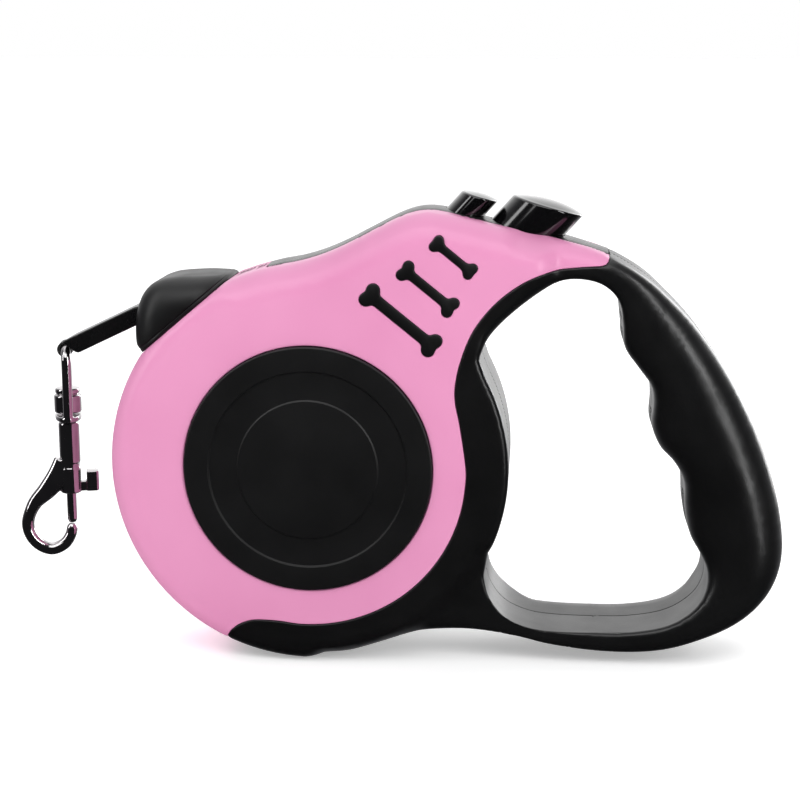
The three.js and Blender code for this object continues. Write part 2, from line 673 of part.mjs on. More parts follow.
function snapBolt() {
  const pin = uprightTurned([[0, -18], [0.8, -18], [BOLT_RADIUS, -17.3], [BOLT_RADIUS, -4], [0, -4]], 12);
  const arm = block([0.4, 5], [-0.8, 0.8], [-10.3, -7.9]);
  const thumb = block([3.7, 6.6], [-1.5, 1.5], [-10.3, -5.3]);
  return hang(joinAll(pin, arm, thumb));
}

function boltSpring() {
  const coil = coilSpring(1.05, 0.22, -3.7, 5.1, 5).rotateX(Math.PI / 2);
  return hang(toSolid(coil));
}

// ---------------------------------------------------------------- buttons

function buttonBody(base, { a, b, height, lip, lipTop, lipEnd }, segments) {
  return joinAll(
    obliqueCylinder(base, a, b, lipEnd, height, segments),
    obliqueCylinder(base, a + lip, b + lip, lipEnd, lipTop, segments),
  );
}

function lockButton() {
  const stem = new THREE.CylinderGeometry(LOCK_STEM_RADIUS, LOCK_STEM_RADIUS, 9.5, 12);
  const placed = onPushAxis(stem.translate(0, -13.05, 0), LOCK_BASE);
  return buttonBody(LOCK_BASE, LOCK_SIZE, 20).add(placed);
}

// how high a piece of the given half width may reach under a button's sloping underside
const UNDERSIDE_SLOPE = Math.tan(Math.atan2(PUSH[0], PUSH[1]) - BUTTON_SLOPE);
const underside = ({ lipEnd }, across) => lipEnd - GAP - across * UNDERSIDE_SLOPE;

const PLUNGER_FOOT = [-25.8, -23.4];
const PLUNGER_TIP = -30.9;

function brakePlunger() {
  const { across, deep } = PLUNGER;
  return joinAll(
    pushBar(BRAKE_BASE, PLUNGER_FOOT[0], underside(BRAKE_SIZE, across), across, [-deep, deep]),
    pushBar(BRAKE_BASE, PLUNGER_FOOT[0], PLUNGER_FOOT[1], across, [-8.1, deep]),
    pushBar(BRAKE_BASE, PLUNGER_TIP, PLUNGER_FOOT[1], across, [-8.1, -5.7]),
  );
}

function buttonGuide() {
  const { top, bottom, left, right, half } = GUIDE;
  const corners = [[bottom, left], [bottom, right], [top, right], [top, left]];
  const slab = plate(polygon(corners.map(([s, t]) => alongPush(BRAKE_BASE, s, t))), -half, half);
  const { across, deep } = PLUNGER;
  const plungerHole = pushBar(
    BRAKE_BASE, bottom - 1, top + 1, across + GAP, [-deep - GAP, deep + GAP],
  );
  const stemHole = new THREE.CylinderGeometry(LOCK_STEM_RADIUS + GAP, LOCK_STEM_RADIUS + GAP, FAR, 16);
  return cutAll(slab, plungerHole, onPushAxis(stemHole, LOCK_BASE));
}

const LOCK_OFFSET = (LOCK_BASE[0] - BRAKE_BASE[0]) * PUSH[0] + (LOCK_BASE[1] - BRAKE_BASE[1]) * PUSH[1];

function brakeSpring() {
  const coil = coilSpring(3.4, 0.45, GUIDE.top + GAP, underside(BRAKE_SIZE, 3.85), 4);
  return onPushAxis(coil, BRAKE_BASE);
}

function lockSpring() {
  const coil = coilSpring(2.1, 0.28, GUIDE.top - LOCK_OFFSET + GAP, underside(LOCK_SIZE, 2.38), 3);
  return onPushAxis(coil, LOCK_BASE);
}

// ---------------------------------------------------------------- assembly

const pieces = [
  ['shell_front', colouredShell(FRONT, -1), PINK],
  ['shell_rear', colouredShell(REAR, 1), PINK],
  ['grip_front', gripHalf(FRONT), BLACK],
  ['grip_rear', gripHalf(REAR), BLACK],
  ['top_strip', topStrip(), BLACK],
  ['exit_nozzle', nozzle(), BLACK],
  ['cap_front', cap(-1), BLACK],
  ['cap_rear', cap(1), BLACK],
  ['axle_post', tube(AXLE_SCREW.shank + GAP, AXLE_RADIUS, -13.5, 13.5, 16), STEEL],
  ['axle_screw', screw(AXLE_SCREW.shank, AXLE_SCREW.head, AXLE_SCREW.tip, CAP_FLOOR, 1, 0.5), STEEL],
  ['button_guide', buttonGuide(), NYLON],
  ['brake_button', buttonBody(BRAKE_BASE, BRAKE_SIZE, 28), GLOSS_BLACK],
  ['brake_plunger', brakePlunger(), STEEL],
  ['brake_spring', brakeSpring(), STEEL],
  ['lock_button', lockButton(), GLOSS_BLACK],
  ['lock_spring', lockSpring(), STEEL],
  ['reel_drum', reelDrum(), NYLON],
  ['reel_spring_cup', springCup(), NYLON],
  ['spring_cover', tube(5, CUP_RADIUS - 1.8, 12.1, CUP_END, 32), NYLON],
  ['retract_spring', retractSpring(), STEEL],
  ['bush_front', tube(BUSH_BORE, BUSH_OUTER - 0.25, -8.2, -2, 16), BRASS],
  ['bush_rear', tube(BUSH_BORE, BUSH_OUTER - 0.25, 1, 6.8, 16), BRASS],
  ['tape_coil', tube(HUB_RADIUS + GAP, COIL_RADIUS, -TAPE_WIDTH / 2, TAPE_WIDTH / 2, 40), WEBBING],
  ['tape_run', tapeRun(), WEBBING],
  ['tape_end_sleeve', endSleeve(), BLACK],
  ['tape_loop', tapeLoop(), WEBBING],
  ['snap_eye', snapEye(), CHROME],
  ['snap_body', snapBody(), CHROME],
  ['snap_bolt', snapBolt(), CHROME],
  ['bolt_spring', boltSpring(), STEEL],
];

for (const [size, dimensions] of Object.entries(BONES)) {
  pieces.push([`bone_${size}_front`, bone(dimensions, -BONE_TOP, -BONE_FLOOR, 0), BLACK]);
  pieces.push([`bone_${size}_rear`, bone(dimensions, BONE_FLOOR, BONE_TOP, 0), BLACK]);
}

for (const [name, [x, z]] of Object.entries(SCREWS)) {
  const solid = screw(SCREW_SHANK, SCREW_HEAD, SCREW_TIP, SCREW_SEAT, 1.8, 0.9);
  pieces.push([name, solid.translate([x, 0, z]), STEEL]);
}

const leash = new THREE.Group();
leash.add(...pieces.map(([name, solid, material]) => toMesh(name, solid, material)));

const box = new THREE.Box3().setFromObject(leash);
leash.position.set(-(box.min.x + box.max.x) / 2, 0, -box.min.z);

export default leash;
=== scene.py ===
"""Looks of a retractable tape leash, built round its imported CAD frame.

Every outline is drawn in millimetres round the reel's axis: x towards the hand loop, z up, and y is the
distance from the middle plane. place() turns such a point into the frame's metres.
"""

import json
from math import atan2, cos, hypot, pi, radians, sin, sqrt

import bmesh
import bpy
import numpy as np
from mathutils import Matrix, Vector
from mathutils.geometry import delaunay_2d_cdt


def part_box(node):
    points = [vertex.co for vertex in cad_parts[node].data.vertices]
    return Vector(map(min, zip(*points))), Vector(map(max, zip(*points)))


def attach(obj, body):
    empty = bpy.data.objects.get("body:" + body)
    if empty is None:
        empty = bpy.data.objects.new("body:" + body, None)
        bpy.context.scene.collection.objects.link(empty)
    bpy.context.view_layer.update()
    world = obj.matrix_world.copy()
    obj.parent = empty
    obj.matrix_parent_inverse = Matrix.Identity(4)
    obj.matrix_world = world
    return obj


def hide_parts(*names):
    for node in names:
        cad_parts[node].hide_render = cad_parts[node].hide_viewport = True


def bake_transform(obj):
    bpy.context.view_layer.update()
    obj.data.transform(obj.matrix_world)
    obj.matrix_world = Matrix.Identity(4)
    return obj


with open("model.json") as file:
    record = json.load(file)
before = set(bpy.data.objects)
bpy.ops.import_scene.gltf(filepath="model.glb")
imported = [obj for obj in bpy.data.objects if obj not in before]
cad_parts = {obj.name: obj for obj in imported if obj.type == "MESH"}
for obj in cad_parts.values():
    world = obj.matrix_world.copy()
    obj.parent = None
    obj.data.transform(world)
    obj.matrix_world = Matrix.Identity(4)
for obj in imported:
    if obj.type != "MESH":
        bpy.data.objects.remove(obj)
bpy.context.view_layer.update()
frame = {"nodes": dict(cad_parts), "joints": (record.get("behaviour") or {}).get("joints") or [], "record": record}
JOINTS = {joint["name"]: joint for joint in frame["joints"]}

# ---- driving sizes, in millimetres

MM = 0.001
REEL = Vector(JOINTS["reel_turn"]["pos_m"])
FRONT, REAR = -1, 1

HOUSING_RADIUS = 46.0
HOUSING_HALF = 16.5
HANDLE_HALF = 13.0
CHAMBER_RADIUS = 42.5
CHAMBER_HALF = 13.8
BUTTON_ROOM_HALF = 12.5
SKIN = 3.0
THINNEST = 0.6  # least thickness left anywhere in a shell
PARTING = 0.06  # half of the gap between the two halves of the body
SEAM_GAP = 0.05  # half of the gap between the coloured shells and the grip

# roundings of the body's edges
OUTER_ROUND, LOOP_OUTER_ROUND = 5, 4  # round the housing, and how much more round the hand loop
HOLE_ROUND, LOOP_HOLE_ROUND = 1.6, 6  # the same at the edge of the hand opening
SHOULDER_ROUND = 7.2  # along the top line
REAR_SHOULDER_ROUND = 9.0
FULL_WIDTH = 20  # narrower stretches of the body have smaller roundings

CAP_RADIUS = 28.3
CAP_TOP = 17.2
CAP_CHANNEL = (16.0, 22.6)  # radii of the shallow ring channel in the cap
CAP_RECESS = 15.0

PUSH = -Vector(JOINTS["brake_press"]["axis"])
BUTTON_SLOPE = radians(16)
BUTTON_GAP = 0.18
BONE_TURN = radians(-38.9)
BRAKE = {"base": (48.5, 53.3), "a": 8.2, "b": 7.8, "height": 7.7, "foot": -7.4, "dome": 1.3}
LOCK = {"base": (34.8, 57.2), "a": 4.2, "b": 5.6, "height": 5.1, "foot": -9.2, "dome": 0.5}

STRIP_HALF = 6.3
DROOP = radians(25.5)
SLEEVE = {"x": -39.6, "z": 33.6, "length": 19.2, "thick": 4.0, "half": 5.8}
SNAP_X = -59.2
EYE_TOP = 24.3  # height of the middle of the bow's top wire
SNAP_YAW = radians(15)


def place(x, y, z):
    """A point in millimetres round the reel's axis, as a point of the frame."""
    return Vector((REEL.x + x * MM, y * MM, REEL.z + z * MM))


# ---- lines in the x-z plane


def arc(radius, start, end, step=1.0, centre=(0.0, 0.0)):
    """Points on an arc between two angles in degrees, about step apart."""
    count = max(int(abs(radians(end - start)) * radius / step), 6)
    angles = np.radians(np.linspace(start, end, count + 1))
    return np.column_stack([centre[0] + radius * np.cos(angles), centre[1] + radius * np.sin(angles)])


def resample(line, step):
    """The same line with points an even distance apart."""
    lengths = np.r_[0, np.cumsum(np.hypot(*np.diff(line, axis=0).T))]
    count = max(int(round(lengths[-1] / step)), 2)
    at = np.linspace(0, lengths[-1], count + 1)
    return np.column_stack([np.interp(at, lengths, line[:, k]) for k in (0, 1)])


def smooth_line(points, step=0.9):
    """A smooth curve through given points, with its own points step apart."""
    p = np.array(points, float)
    padded = np.vstack([2 * p[0] - p[1], p, 2 * p[-1] - p[-2]])
    t = np.linspace(0, 1, 12, endpoint=False)[:, None]
    spans = []
    for a, b, c, d in zip(padded, padded[1:], padded[2:], padded[3:]):
        spans.append(0.5 * (2 * b + (c - a) * t + (2 * a - 5 * b + 4 * c - d) * t**2
                            + (3 * b - a - 3 * c + d) * t**3))
    spans.append(padded[-2:-1])
    return resample(np.vstack(spans), step)


def normals(line):
    """Unit normals of a line, to the left of its direction."""
    ahead = np.vstack([line[1:], line[-1:]])
    behind = np.vstack([line[:1], line[:-1]])
    if np.allclose(line[0], line[-1]):
        ahead[-1], behind[0] = line[1], line[-2]
    along = ahead - behind
    along /= np.hypot(*along.T)[:, None]
    return np.column_stack([-along[:, 1], along[:, 0]])


def offset(line, by):
    """The line moved to its left, by one distance or one for each point."""
    return line + normals(line) * by


def close(line):
    return np.vstack([line, line[:1]])


def distance(points, line):
    """Distance from each point to a line."""
    result = np.empty(len(points))
    a, ab = line[:-1], np.diff(line, axis=0)
    square = np.maximum((ab**2).sum(1), 1e-12)
    for start in range(0, len(points), 2000):
        p = points[start:start + 2000, None]
        t = np.clip(((p - a) * ab).sum(2) / square, 0, 1)
        result[start:start + 2000] = np.sqrt(((p - a - t[..., None] * ab)**2).sum(2).min(1))
    return result


def soft_distance(points, line):
    """Like distance, but without the creases behind tight bends: a potential round the line."""
    exact = distance(points, line)
    middle, length = (line[1:] + line[:-1]) / 2, np.hypot(*np.diff(line, axis=0).T)
    result = np.empty(len(points))
    for start in range(0, len(points), 2000):
        square = ((points[start:start + 2000, None] - middle)**2).sum(2)
        result[start:start + 2000] = (3 * pi / 8 / (length / square**3).sum(1))**0.2
    share = smoothstep(0.8, 2.5, exact)
    return exact * (1 - share) + result * share


def inside(points, loop):
    """Which points lie inside a closed loop."""
    x, z = points.T
    found = np.zeros(len(points), bool)
    for (x0, z0), (x1, z1) in zip(loop, np.roll(loop, -1, axis=0)):
        if z0 != z1:
            found ^= ((z0 > z) != (z1 > z)) & (x < (x1 - x0) * (z - z0) / (z1 - z0) + x0)
    return found


def smoothstep(low, high, x):
    t = np.clip((x - low) / (high - low), 0, 1)
    return t * t * (3 - 2 * t)


def rounding(d, radius):
    """How far a round edge lies below its face at distance d from the edge."""
    depth = np.clip(radius - np.maximum(d, 0), 0, None)
    return radius - np.sqrt(np.maximum(radius**2 - depth**2, 0))


# ---- outlines of the body

TOP_LINE = [
    (66, 48.8), (56.6, 51.6), (41.8, 54.9), (34, 56.8), (27.1, 58), (21.3, 56.9),
    (13.4, 53), (8.2, 50.3), (2.9, 48), (-2.3, 46.4), (-7, 45.5),
]
LOOP_BACK = [
    (3, -45.7), (9, -45), (15.9, -42.8), (24.5, -40.1), (33.7, -38.7), (41.1, -38.7),
    (48.5, -39.8), (55.4, -41.5), (64.9, -43), (74.3, -43.3), (82, -42.5), (89.5, -40.3),
    (96.9, -37.2), (102, -33.6), (105.8, -28.9), (107.9, -23.2), (108.2, -16.8), (106.8, -8.2),
    (103.9, 1.5), (100.2, 10.6), (95.6, 19.4), (91.6, 25.7), (86.4, 32.8), (81.3, 38.2),
    (74.8, 43.9), (66, 48.8),
]
LOOP_HOLE = [
    (38.5, 25.8), (40.3, 30), (44.3, 34.6), (49.6, 39), (55.7, 42.7), (61, 43.3), (66, 41.9),
    (69.4, 38.2), (70.4, 32.6), (71, 27.6), (74.5, 22.6), (77.2, 18.8), (77.8, 14.6),
    (77.6, 9.6), (79.6, 4.6), (82.9, 1.1), (85.2, -3.2), (85.7, -9.4), (87, -15.8),
    (89.3, -19.9), (91, -23.8), (90.6, -28.6), (87.8, -32.8), (82.2, -36.3), (74, -38),
    (65, -38.3), (56, -38.1), (50, -37.2), (44.6, -34.6), (41.2, -30.2), (39.9, -25.4),
]
HOLE_ARC = (45.4, -27, 29.5)
CORNER = [
    (43, 30), (49.5, 36.8), (53.4, 41), (55.3, 44.2), (55.7, 47.4), (54.6, 50.2), (52, 52.2), (48, 53.5),
]
SEAM_TAIL = [
    (-21.2, -47), (-19.8, -42.5), (-19.2, -40.1), (-17.6, -38), (-15.2, -36.6), (-12.2, -35.9),
]
SEAM_ARC = (36.2, -104, 12, 1.0, (-0.4, -0.5))
SEAM_RISE = [
    (34.4, 10.4), (33.3, 16), (33.3, 20), (34.4, 25.2), (36.6, 31), (39.6, 35.6), (43.8, 39.9),
    (49.2, 43.5), (55, 45.4), (61, 46.1), (65.4, 46.4), (66.7, 47.2), (67, 48.6), (67, 52),
]
CHORD = [(-15.8, 44.4), (-39, 24.8)]

OUTER = resample(np.vstack([
    smooth_line(LOOP_BACK[:-1] + TOP_LINE)[:-1],
    arc(HOUSING_RADIUS, 101, 273)[:-1],
    smooth_line(LOOP_BACK[:-1] + TOP_LINE)[:1],
]), 0.9)
HOLE = resample(close(np.vstack([arc(*HOLE_ARC)[1:-1], smooth_line(LOOP_HOLE)])), 0.9)
SEAM = smooth_line(np.vstack([SEAM_TAIL, arc(*SEAM_ARC)[2:-2:5], SEAM_RISE]), 0.8)
HOUSING_LINE = np.vstack([arc(HOUSING_RADIUS, 101, 388), smooth_line(CORNER), TOP_LINE[2:]])
STEP_LINES = (arc(HOUSING_RADIUS, -86, -27), smooth_line(CORNER))  # the housing's edge inside the body


def body_height(points, side=FRONT):
    """Distance of the body's face from the middle plane."""
    x = points[:, 0]
    to_outer, to_hole = soft_distance(points, OUTER), soft_distance(points, HOLE)
    step = np.minimum(*[distance(points, line) for line in STEP_LINES])
    within = inside(points, HOUSING_LINE) | (distance(points, close(HOUSING_LINE)) < 0.1)
    sign = np.where(within, 1, -1)
    base = HANDLE_HALF + (HOUSING_HALF - HANDLE_HALF) * smoothstep(-1, 5, sign * step)
    slim = np.minimum(1, ((to_outer + to_hole) / FULL_WIDTH)**0.9)
    loop = smoothstep(45, 66, x)
    shoulder = smoothstep(22, 8, distance(points, np.array(TOP_LINE[1:], float)))
    outer_radius = np.maximum((OUTER_ROUND + LOOP_OUTER_ROUND * loop) * slim,
                              SHOULDER_ROUND * shoulder * np.minimum(1, slim * 1.6))
    hole_radius = (HOLE_ROUND + LOOP_HOLE_ROUND * loop) * slim**1.6
    valley = 0.22 * np.exp(-((to_outer - 6.3) / 1.6)**2) * (1 - smoothstep(30, 50, x)) * (1 - shoulder)
    height = base - rounding(to_outer, outer_radius) - rounding(to_hole, hole_radius) - valley
    if side == REAR:
        height -= 0.5 * shoulder * rounding(to_outer, REAR_SHOULDER_ROUND * np.minimum(1, slim * 2))
        bar = smoothstep(9, 6, to_outer + to_hole) * smoothstep(44, 52, x)
        height -= bar * 2.2 * rounding(to_hole, 2.6)
    return height


# ---- reliefs: solids drawn on the x-z plane


def hexagonal(low, high, step):
    """Points of a hexagonal net over a rectangle."""
    rows = []
    for i, z in enumerate(np.arange(low[1], high[1], step * 0.866)):
        x = np.arange(low[0] + (i % 2) * step / 2, high[0], step)
        rows.append(np.column_stack([x, np.full(len(x), z)]))
    return np.vstack(rows)


def triangulate(lines, points):
    """Triangles whose edges follow the lines, through the points; gives all points and the triangles."""
    verts, edges = [], []
    for line in lines:
        edges += [(len(verts) + i, len(verts) + i + 1) for i in range(len(line) - 1)]
        verts += [Vector(p) for p in line]
    verts += [Vector(p) for p in points]
    made = delaunay_2d_cdt(verts, edges, [], 0, 1e-5, False)
    return np.array([v[:] for v in made[0]]), np.array([f for f in made[2] if len(f) == 3])


def zone_heights(points, triangles, zones, top, bottom):
    """The lower and upper height of each point, for each zone that it belongs to."""
    heights = {}
    for zone in np.unique(zones):
        used = np.unique(triangles[zones == zone])
        high = top(points[used], zone)
        low = np.minimum(bottom(points[used], zone), high - THINNEST)
        for i, h, l in zip(used, high, low):
            heights[i, zone] = (round(float(l), 4), round(float(h), 4))
    return heights


def zones_by_edge(triangles, zones):
    """The zones of the one or two triangles at each edge of a net."""
    found = {}
    for triangle, zone in zip(triangles, zones):
        for a, b in ((0, 1), (1, 2), (2, 0)):
            i, j = triangle[a], triangle[b]
            found.setdefault((min(i, j), max(i, j)), []).append(zone)
    return found


def wall_spans(heights, edge, found):
    """The upright faces at an edge: for each one, the heights that it joins at the edge's two points."""
    i, j = edge
    if len(found) == 1:
        return [(heights[i, found[0]], heights[j, found[0]])]
    first, second = found
    if first == second:
        return []
    return [((heights[i, first][k], heights[i, second][k]),
             (heights[j, first][k], heights[j, second][k])) for k in (0, 1)]


def relief(name, net, zones, top, bottom, side, chamfer=0.18):
    """A closed solid over the triangles of a net whose zone isn't 0. top and bottom give, for points and
    their zone, the distances of its two faces from the middle plane; side is FRONT or REAR."""
    points, triangles = net
    keep = zones != 0
    triangles, zones = triangles[keep], zones[keep]
    heights = zone_heights(points, triangles, zones, top, bottom)
    edges = zones_by_edge(triangles, zones)
    columns = {}
    for (i, zone), pair in heights.items():
        columns.setdefault(i, set()).update(pair)
    shift = foot_shift(points, triangles, edges)
    for i in shift:
        columns[i].add(round(min(columns[i]) + chamfer, 4))
    ranks = {i: sorted(found) for i, found in columns.items()}
    mesh = bmesh.new()
    made = {}

    def vertex(i, height):
        if (i, height) not in made:
            x, z = points[i]
            if i in shift and height == ranks[i][0]:
                x, z = x + shift[i][0] * chamfer, z + shift[i][1] * chamfer
            made[i, height] = mesh.verts.new(place(x, side * height, z))
        return made[i, height]

    def face(corners):
        ring = [vertex(*corner) for k, corner in enumerate(corners) if corner != corners[k - 1]]
        if len(set(ring)) >= 3:
            mesh.faces.new(ring)

    def climb(i, low, high):
        low, high = min(low, high), max(low, high)
        return [(i, h) for h in ranks[i] if low <= h <= high]

    for triangle, zone in zip(triangles, zones):
        face([(i, heights[i, zone][1]) for i in triangle])
        face([(i, heights[i, zone][0]) for i in triangle[::-1]])
    for (i, j), found in edges.items():
        for at_i, at_j in wall_spans(heights, (i, j), found):
            if at_i[0] != at_i[1] or at_j[0] != at_j[1]:
                face(climb(i, *at_i)[::-1] + climb(j, *at_j))
    bmesh.ops.recalc_face_normals(mesh, faces=mesh.faces[:])
    return finish_mesh(name, mesh)


def foot_shift(points, triangles, edges):
    """For each point on the solid's edge, the direction that leads into the solid."""
    third = {}
    for triangle in triangles:
        for a, b, c in ((0, 1, 2), (1, 2, 0), (2, 0, 1)):
            edge = (min(triangle[a], triangle[b]), max(triangle[a], triangle[b]))
            if len(edges[edge]) == 1:
                third[edge] = triangle[c]
    rim = {}
    for edge, found in edges.items():
        if len(found) == 1:
            for i in edge:
                rim.setdefault(i, []).append(edge)
    result = {}
    for i, meeting in rim.items():
        total = np.zeros(2)
        for edge in meeting:
            along = points[edge[1]] - points[edge[0]]
            across = np.array([-along[1], along[0]]) / max(hypot(*along), 1e-9)
            into = points[third[edge]] - points[edge[0]]
            total += across * (1 if across @ into > 0 else -1)
        length = hypot(*total)
        if length > 0.3:
            result[i] = total / length
    return result


def add(name, data):
    """A new object in the scene."""
    made = bpy.data.objects.new(name, data)
    bpy.context.scene.collection.objects.link(made)
    return made


def shade(mesh, sharp):
    """Smooth shading up to the sharp angle."""
    for edge in mesh.edges:
        edge.smooth = len(edge.link_faces) == 2 and edge.calc_face_angle(0) < radians(sharp)
    for face in mesh.faces:
        face.smooth = True


def finish_mesh(name, mesh, sharp=35):
    """Turns a bmesh into an object."""
    shade(mesh, sharp)
    data = bpy.data.meshes.new(name)
    mesh.to_mesh(data)
    mesh.free()
    return add(name, data)


# ---- the body's net and zones

INSETS = (0.05, 0.2, 0.45, 0.8, 1.3, 1.9, 2.7, 3.6, 4.7)
NET_STEP = 1.15


def bone_outline(x, z, length, spread, lobe, shaft, grow=0.0):
    """Outline of a bone: a bar that widens into two round lobes at each end."""
    meet = sqrt(lobe**2 - ((shaft - spread) / 2)**2)
    start = atan2((shaft - spread) / 2, -meet) % (2 * pi)
    notch = atan2(-spread / 2, sqrt(lobe**2 - (spread / 2)**2))
    angles = np.linspace(start, notch, 24)
    head = np.column_stack([length / 2 + lobe * np.cos(angles), spread / 2 + lobe * np.sin(angles)])
    right = np.vstack([head, (head * (1, -1))[::-1]])
    ring = resample(close(np.vstack([right, -right])), 0.3)[:-1]
    for _ in range(9):
        ring = (np.roll(ring, 1, axis=0) + 2 * ring + np.roll(ring, -1, axis=0)) / 4
    ring = offset(close(ring), -grow * outward(ring))[:-1]
    c, s = cos(BONE_TURN), sin(BONE_TURN)
    return ring @ np.array([[c, s], [-s, c]]) + (x, z)


def outward(ring):
    """1 for a ring that runs anticlockwise, whose left normals point inwards, otherwise -1."""
    x, z = ring.T
    return 1 if (x * np.roll(z, -1) - np.roll(x, -1) * z).sum() > 0 else -1


BONES = {
    "large": (21.1, 34.4, 17.8, 2.7, 1.6, 2.5),
    "medium": (27.1, 41.4, 12.9, 2.5, 1.35, 2.0),
    "small": (32.7, 48.4, 9.7, 1.9, 1.15, 1.7),
}
SCREWS = {"upper": (76.5, 35.5), "middle": (93, 2), "lower": (99, -24), "housing": (38.6, -33.6)}
SCREW_WELL = 2.55  # radius of the well round a screw's head
SCREW_HOLE = 1.5  # radius of the hole for its shank
SCREW_SEAT = 8.0


def circle(radius, step=0.9, centre=(0.0, 0.0)):
    """A closed circle of points."""
    return arc(radius, 0, 360, step, centre)


def band(line, top, under):
    """Closed outline of a band between two depths under a line that runs towards -x."""
    return np.vstack([offset(line, top), offset(line, under)[::-1]])


STRIP_PATH = smooth_line([(66.9, 48.45)] + TOP_LINE[1:] + [(-10.0, 44.75)], 1.0)
STRIP_ROOM = band(np.vstack([[(67.4, 48.3)], STRIP_PATH, [(-10.3, 44.68)]]), -6, SKIN + 0.2)
BUTTON_ROOM = np.vstack([
    [(36.2, 27), (38, 31.5), (42.6, 36.8), (48.3, 41.3), (54.4, 45.4)],
    offset(smooth_line(TOP_LINE[1:]), SKIN), [(-4, 38)],
])
GRIP_SIDE = np.vstack([SEAM, [(67, 60), (-60, 60), (-60, -60), (-24, -60)]])
NOZZLE_SIDE = np.array([(-11.2, 48.2), (-43.6, 20.9), (-60, 40), (-30, 70)])


def body_net():
    """Triangles over the whole body, with lines along every edge that a piece has."""
    lines = [OUTER, HOLE]
    for shift in (SEAM_GAP, SEAM_GAP + 0.05, SEAM_GAP + 0.16, SEAM_GAP + 0.35):
        lines += [offset(SEAM, shift), offset(SEAM, -shift)]
    lines += [circle(CAP_RADIUS + gap) for gap in (0.12, 0.16, 0.27, 0.45)]
    for size in BONES.values():
        lines += [close(bone_outline(*size, grow=gap)) for gap in (0.08, 0.12, 0.2, 0.32)]
    lines.append(circle(CHAMBER_RADIUS))
    lines += [resample(close(room), 0.45) for room in (STRIP_ROOM, BUTTON_ROOM)]
    for shift in (0, 0.06, 0.15, 0.38):
        lines.append(offset(resample(chord_line(), 0.7), -shift))
    for at in SCREWS.values():
        lines += [circle(SCREW_WELL + gap, 0.5, at) for gap in (0, 0.05, 0.2)]
        lines.append(circle(SCREW_HOLE, 0.5, at))
    return triangulate(lines, body_points())


def body_points():
    """Loose points of the net: even over the faces, closer in rows along the outer and inner edge."""
    free = hexagonal((-47, -47), (110, 60), NET_STEP)
    for edge in (OUTER, HOLE):
        free = free[distance(free, edge) > INSETS[-1] + 0.6]
    rows = [free]
    for inset in INSETS:
        for edge in (OUTER, HOLE):
            for way in (1, -1):
                row = offset(edge, way * inset)[:-1]
                rows.append(row[distance(row, edge) > 0.93 * inset])
    points = np.vstack(rows)
    points = points[inside(points, OUTER) & ~inside(points, HOLE)]
    points = points[(distance(points, OUTER) > 0.03) & (distance(points, HOLE) > 0.03)]
    guides = [SEAM, circle(CAP_RADIUS + 0.3)] + [close(bone_outline(*size)) for size in BONES.values()]
    guides += [circle(CHAMBER_RADIUS)] + [circle(SCREW_WELL, 0.5, at) for at in SCREWS.values()]
    for guide in guides:
        points = points[distance(points, guide) > 0.55]
    return points


# ---- body halves

FACE, RECESS, POCKET, WELL = 1, 2, 3, 4  # what a zone's outer face is
MIDDLE, CHAMBER, ROOM, STRIP = 1, 2, 3, 4  # what its inner face is
INNER_HEIGHT = {MIDDLE: PARTING, CHAMBER: CHAMBER_HALF, ROOM: BUTTON_ROOM_HALF, STRIP: STRIP_HALF + 0.15}
BONE_TOP = 16.6
BONE_SEAT = 15.2  # floor of the pocket that a bone lies in


def face_height(points, side):
    """The body's face with its small roundings along the seam, the caps, the bones and the chord."""
    height = body_height(points, side)
    x, z = points.T
    height -= rounding(distance(points, SEAM) - SEAM_GAP, 0.35)
    height -= rounding(np.abs(np.hypot(x, z) - CAP_RADIUS) - 0.12, 0.3)
    height -= rounding(distance(points, chord_line()) - 0.05, 0.35)
    for size in BONES.values():
        near = np.hypot(x - size[0], z - size[1]) < size[2]
        loop = close(bone_outline(*size, grow=0.08))
        height[near] -= rounding(distance(points[near], loop), 0.2)
    return height


def chord_line():
    """The flat that the nozzle sits on, drawn out past the body at both ends."""
    return np.array([(-11.2, 48.2), *CHORD, (-43.6, 20.9)])


def outer_height(points, zone, side):
    """Height of the body's outer face, or of the floor of a recess in it."""
    kind = zone // 10
    if kind == FACE:
        return face_height(points, side)
    return np.full(len(points), {RECESS: CAP_RECESS, POCKET: BONE_SEAT, WELL: SCREW_SEAT}[kind])


def inner_height(points, zone):
    """Height of the body's inner face."""
    return np.full(len(points), INNER_HEIGHT[zone % 10])


def body_zones(net, coloured, side):
    """The zone of each triangle for one half of the coloured shell or of the grip."""
    points, triangles = net
    middle = points[triangles].mean(1)
    radius = np.hypot(*middle.T)
    outer = np.full(len(middle), FACE)
    outer[radius < CAP_RADIUS + 0.12] = RECESS
    for size in BONES.values():
        outer[inside(middle, bone_outline(*size, grow=0.08))] = POCKET
    inner = np.full(len(middle), MIDDLE)
    inner[inside(middle, BUTTON_ROOM)] = ROOM
    inner[radius < CHAMBER_RADIUS] = CHAMBER
    inner[inside(middle, STRIP_ROOM)] = STRIP
    here = inside(middle, OUTER) & ~inside(middle, HOLE) & ~inside(middle, NOZZLE_SIDE)
    here &= (inside(middle, GRIP_SIDE) == coloured) & (distance(middle, SEAM) > SEAM_GAP)
    if side == REAR:
        for at in SCREWS.values():
            reach = np.hypot(*(middle - at).T)
            outer[reach < SCREW_WELL] = WELL
            here &= reach > SCREW_HOLE
    return np.where(here, outer * 10 + inner, 0)


# ---- lathed, lofted and swept solids


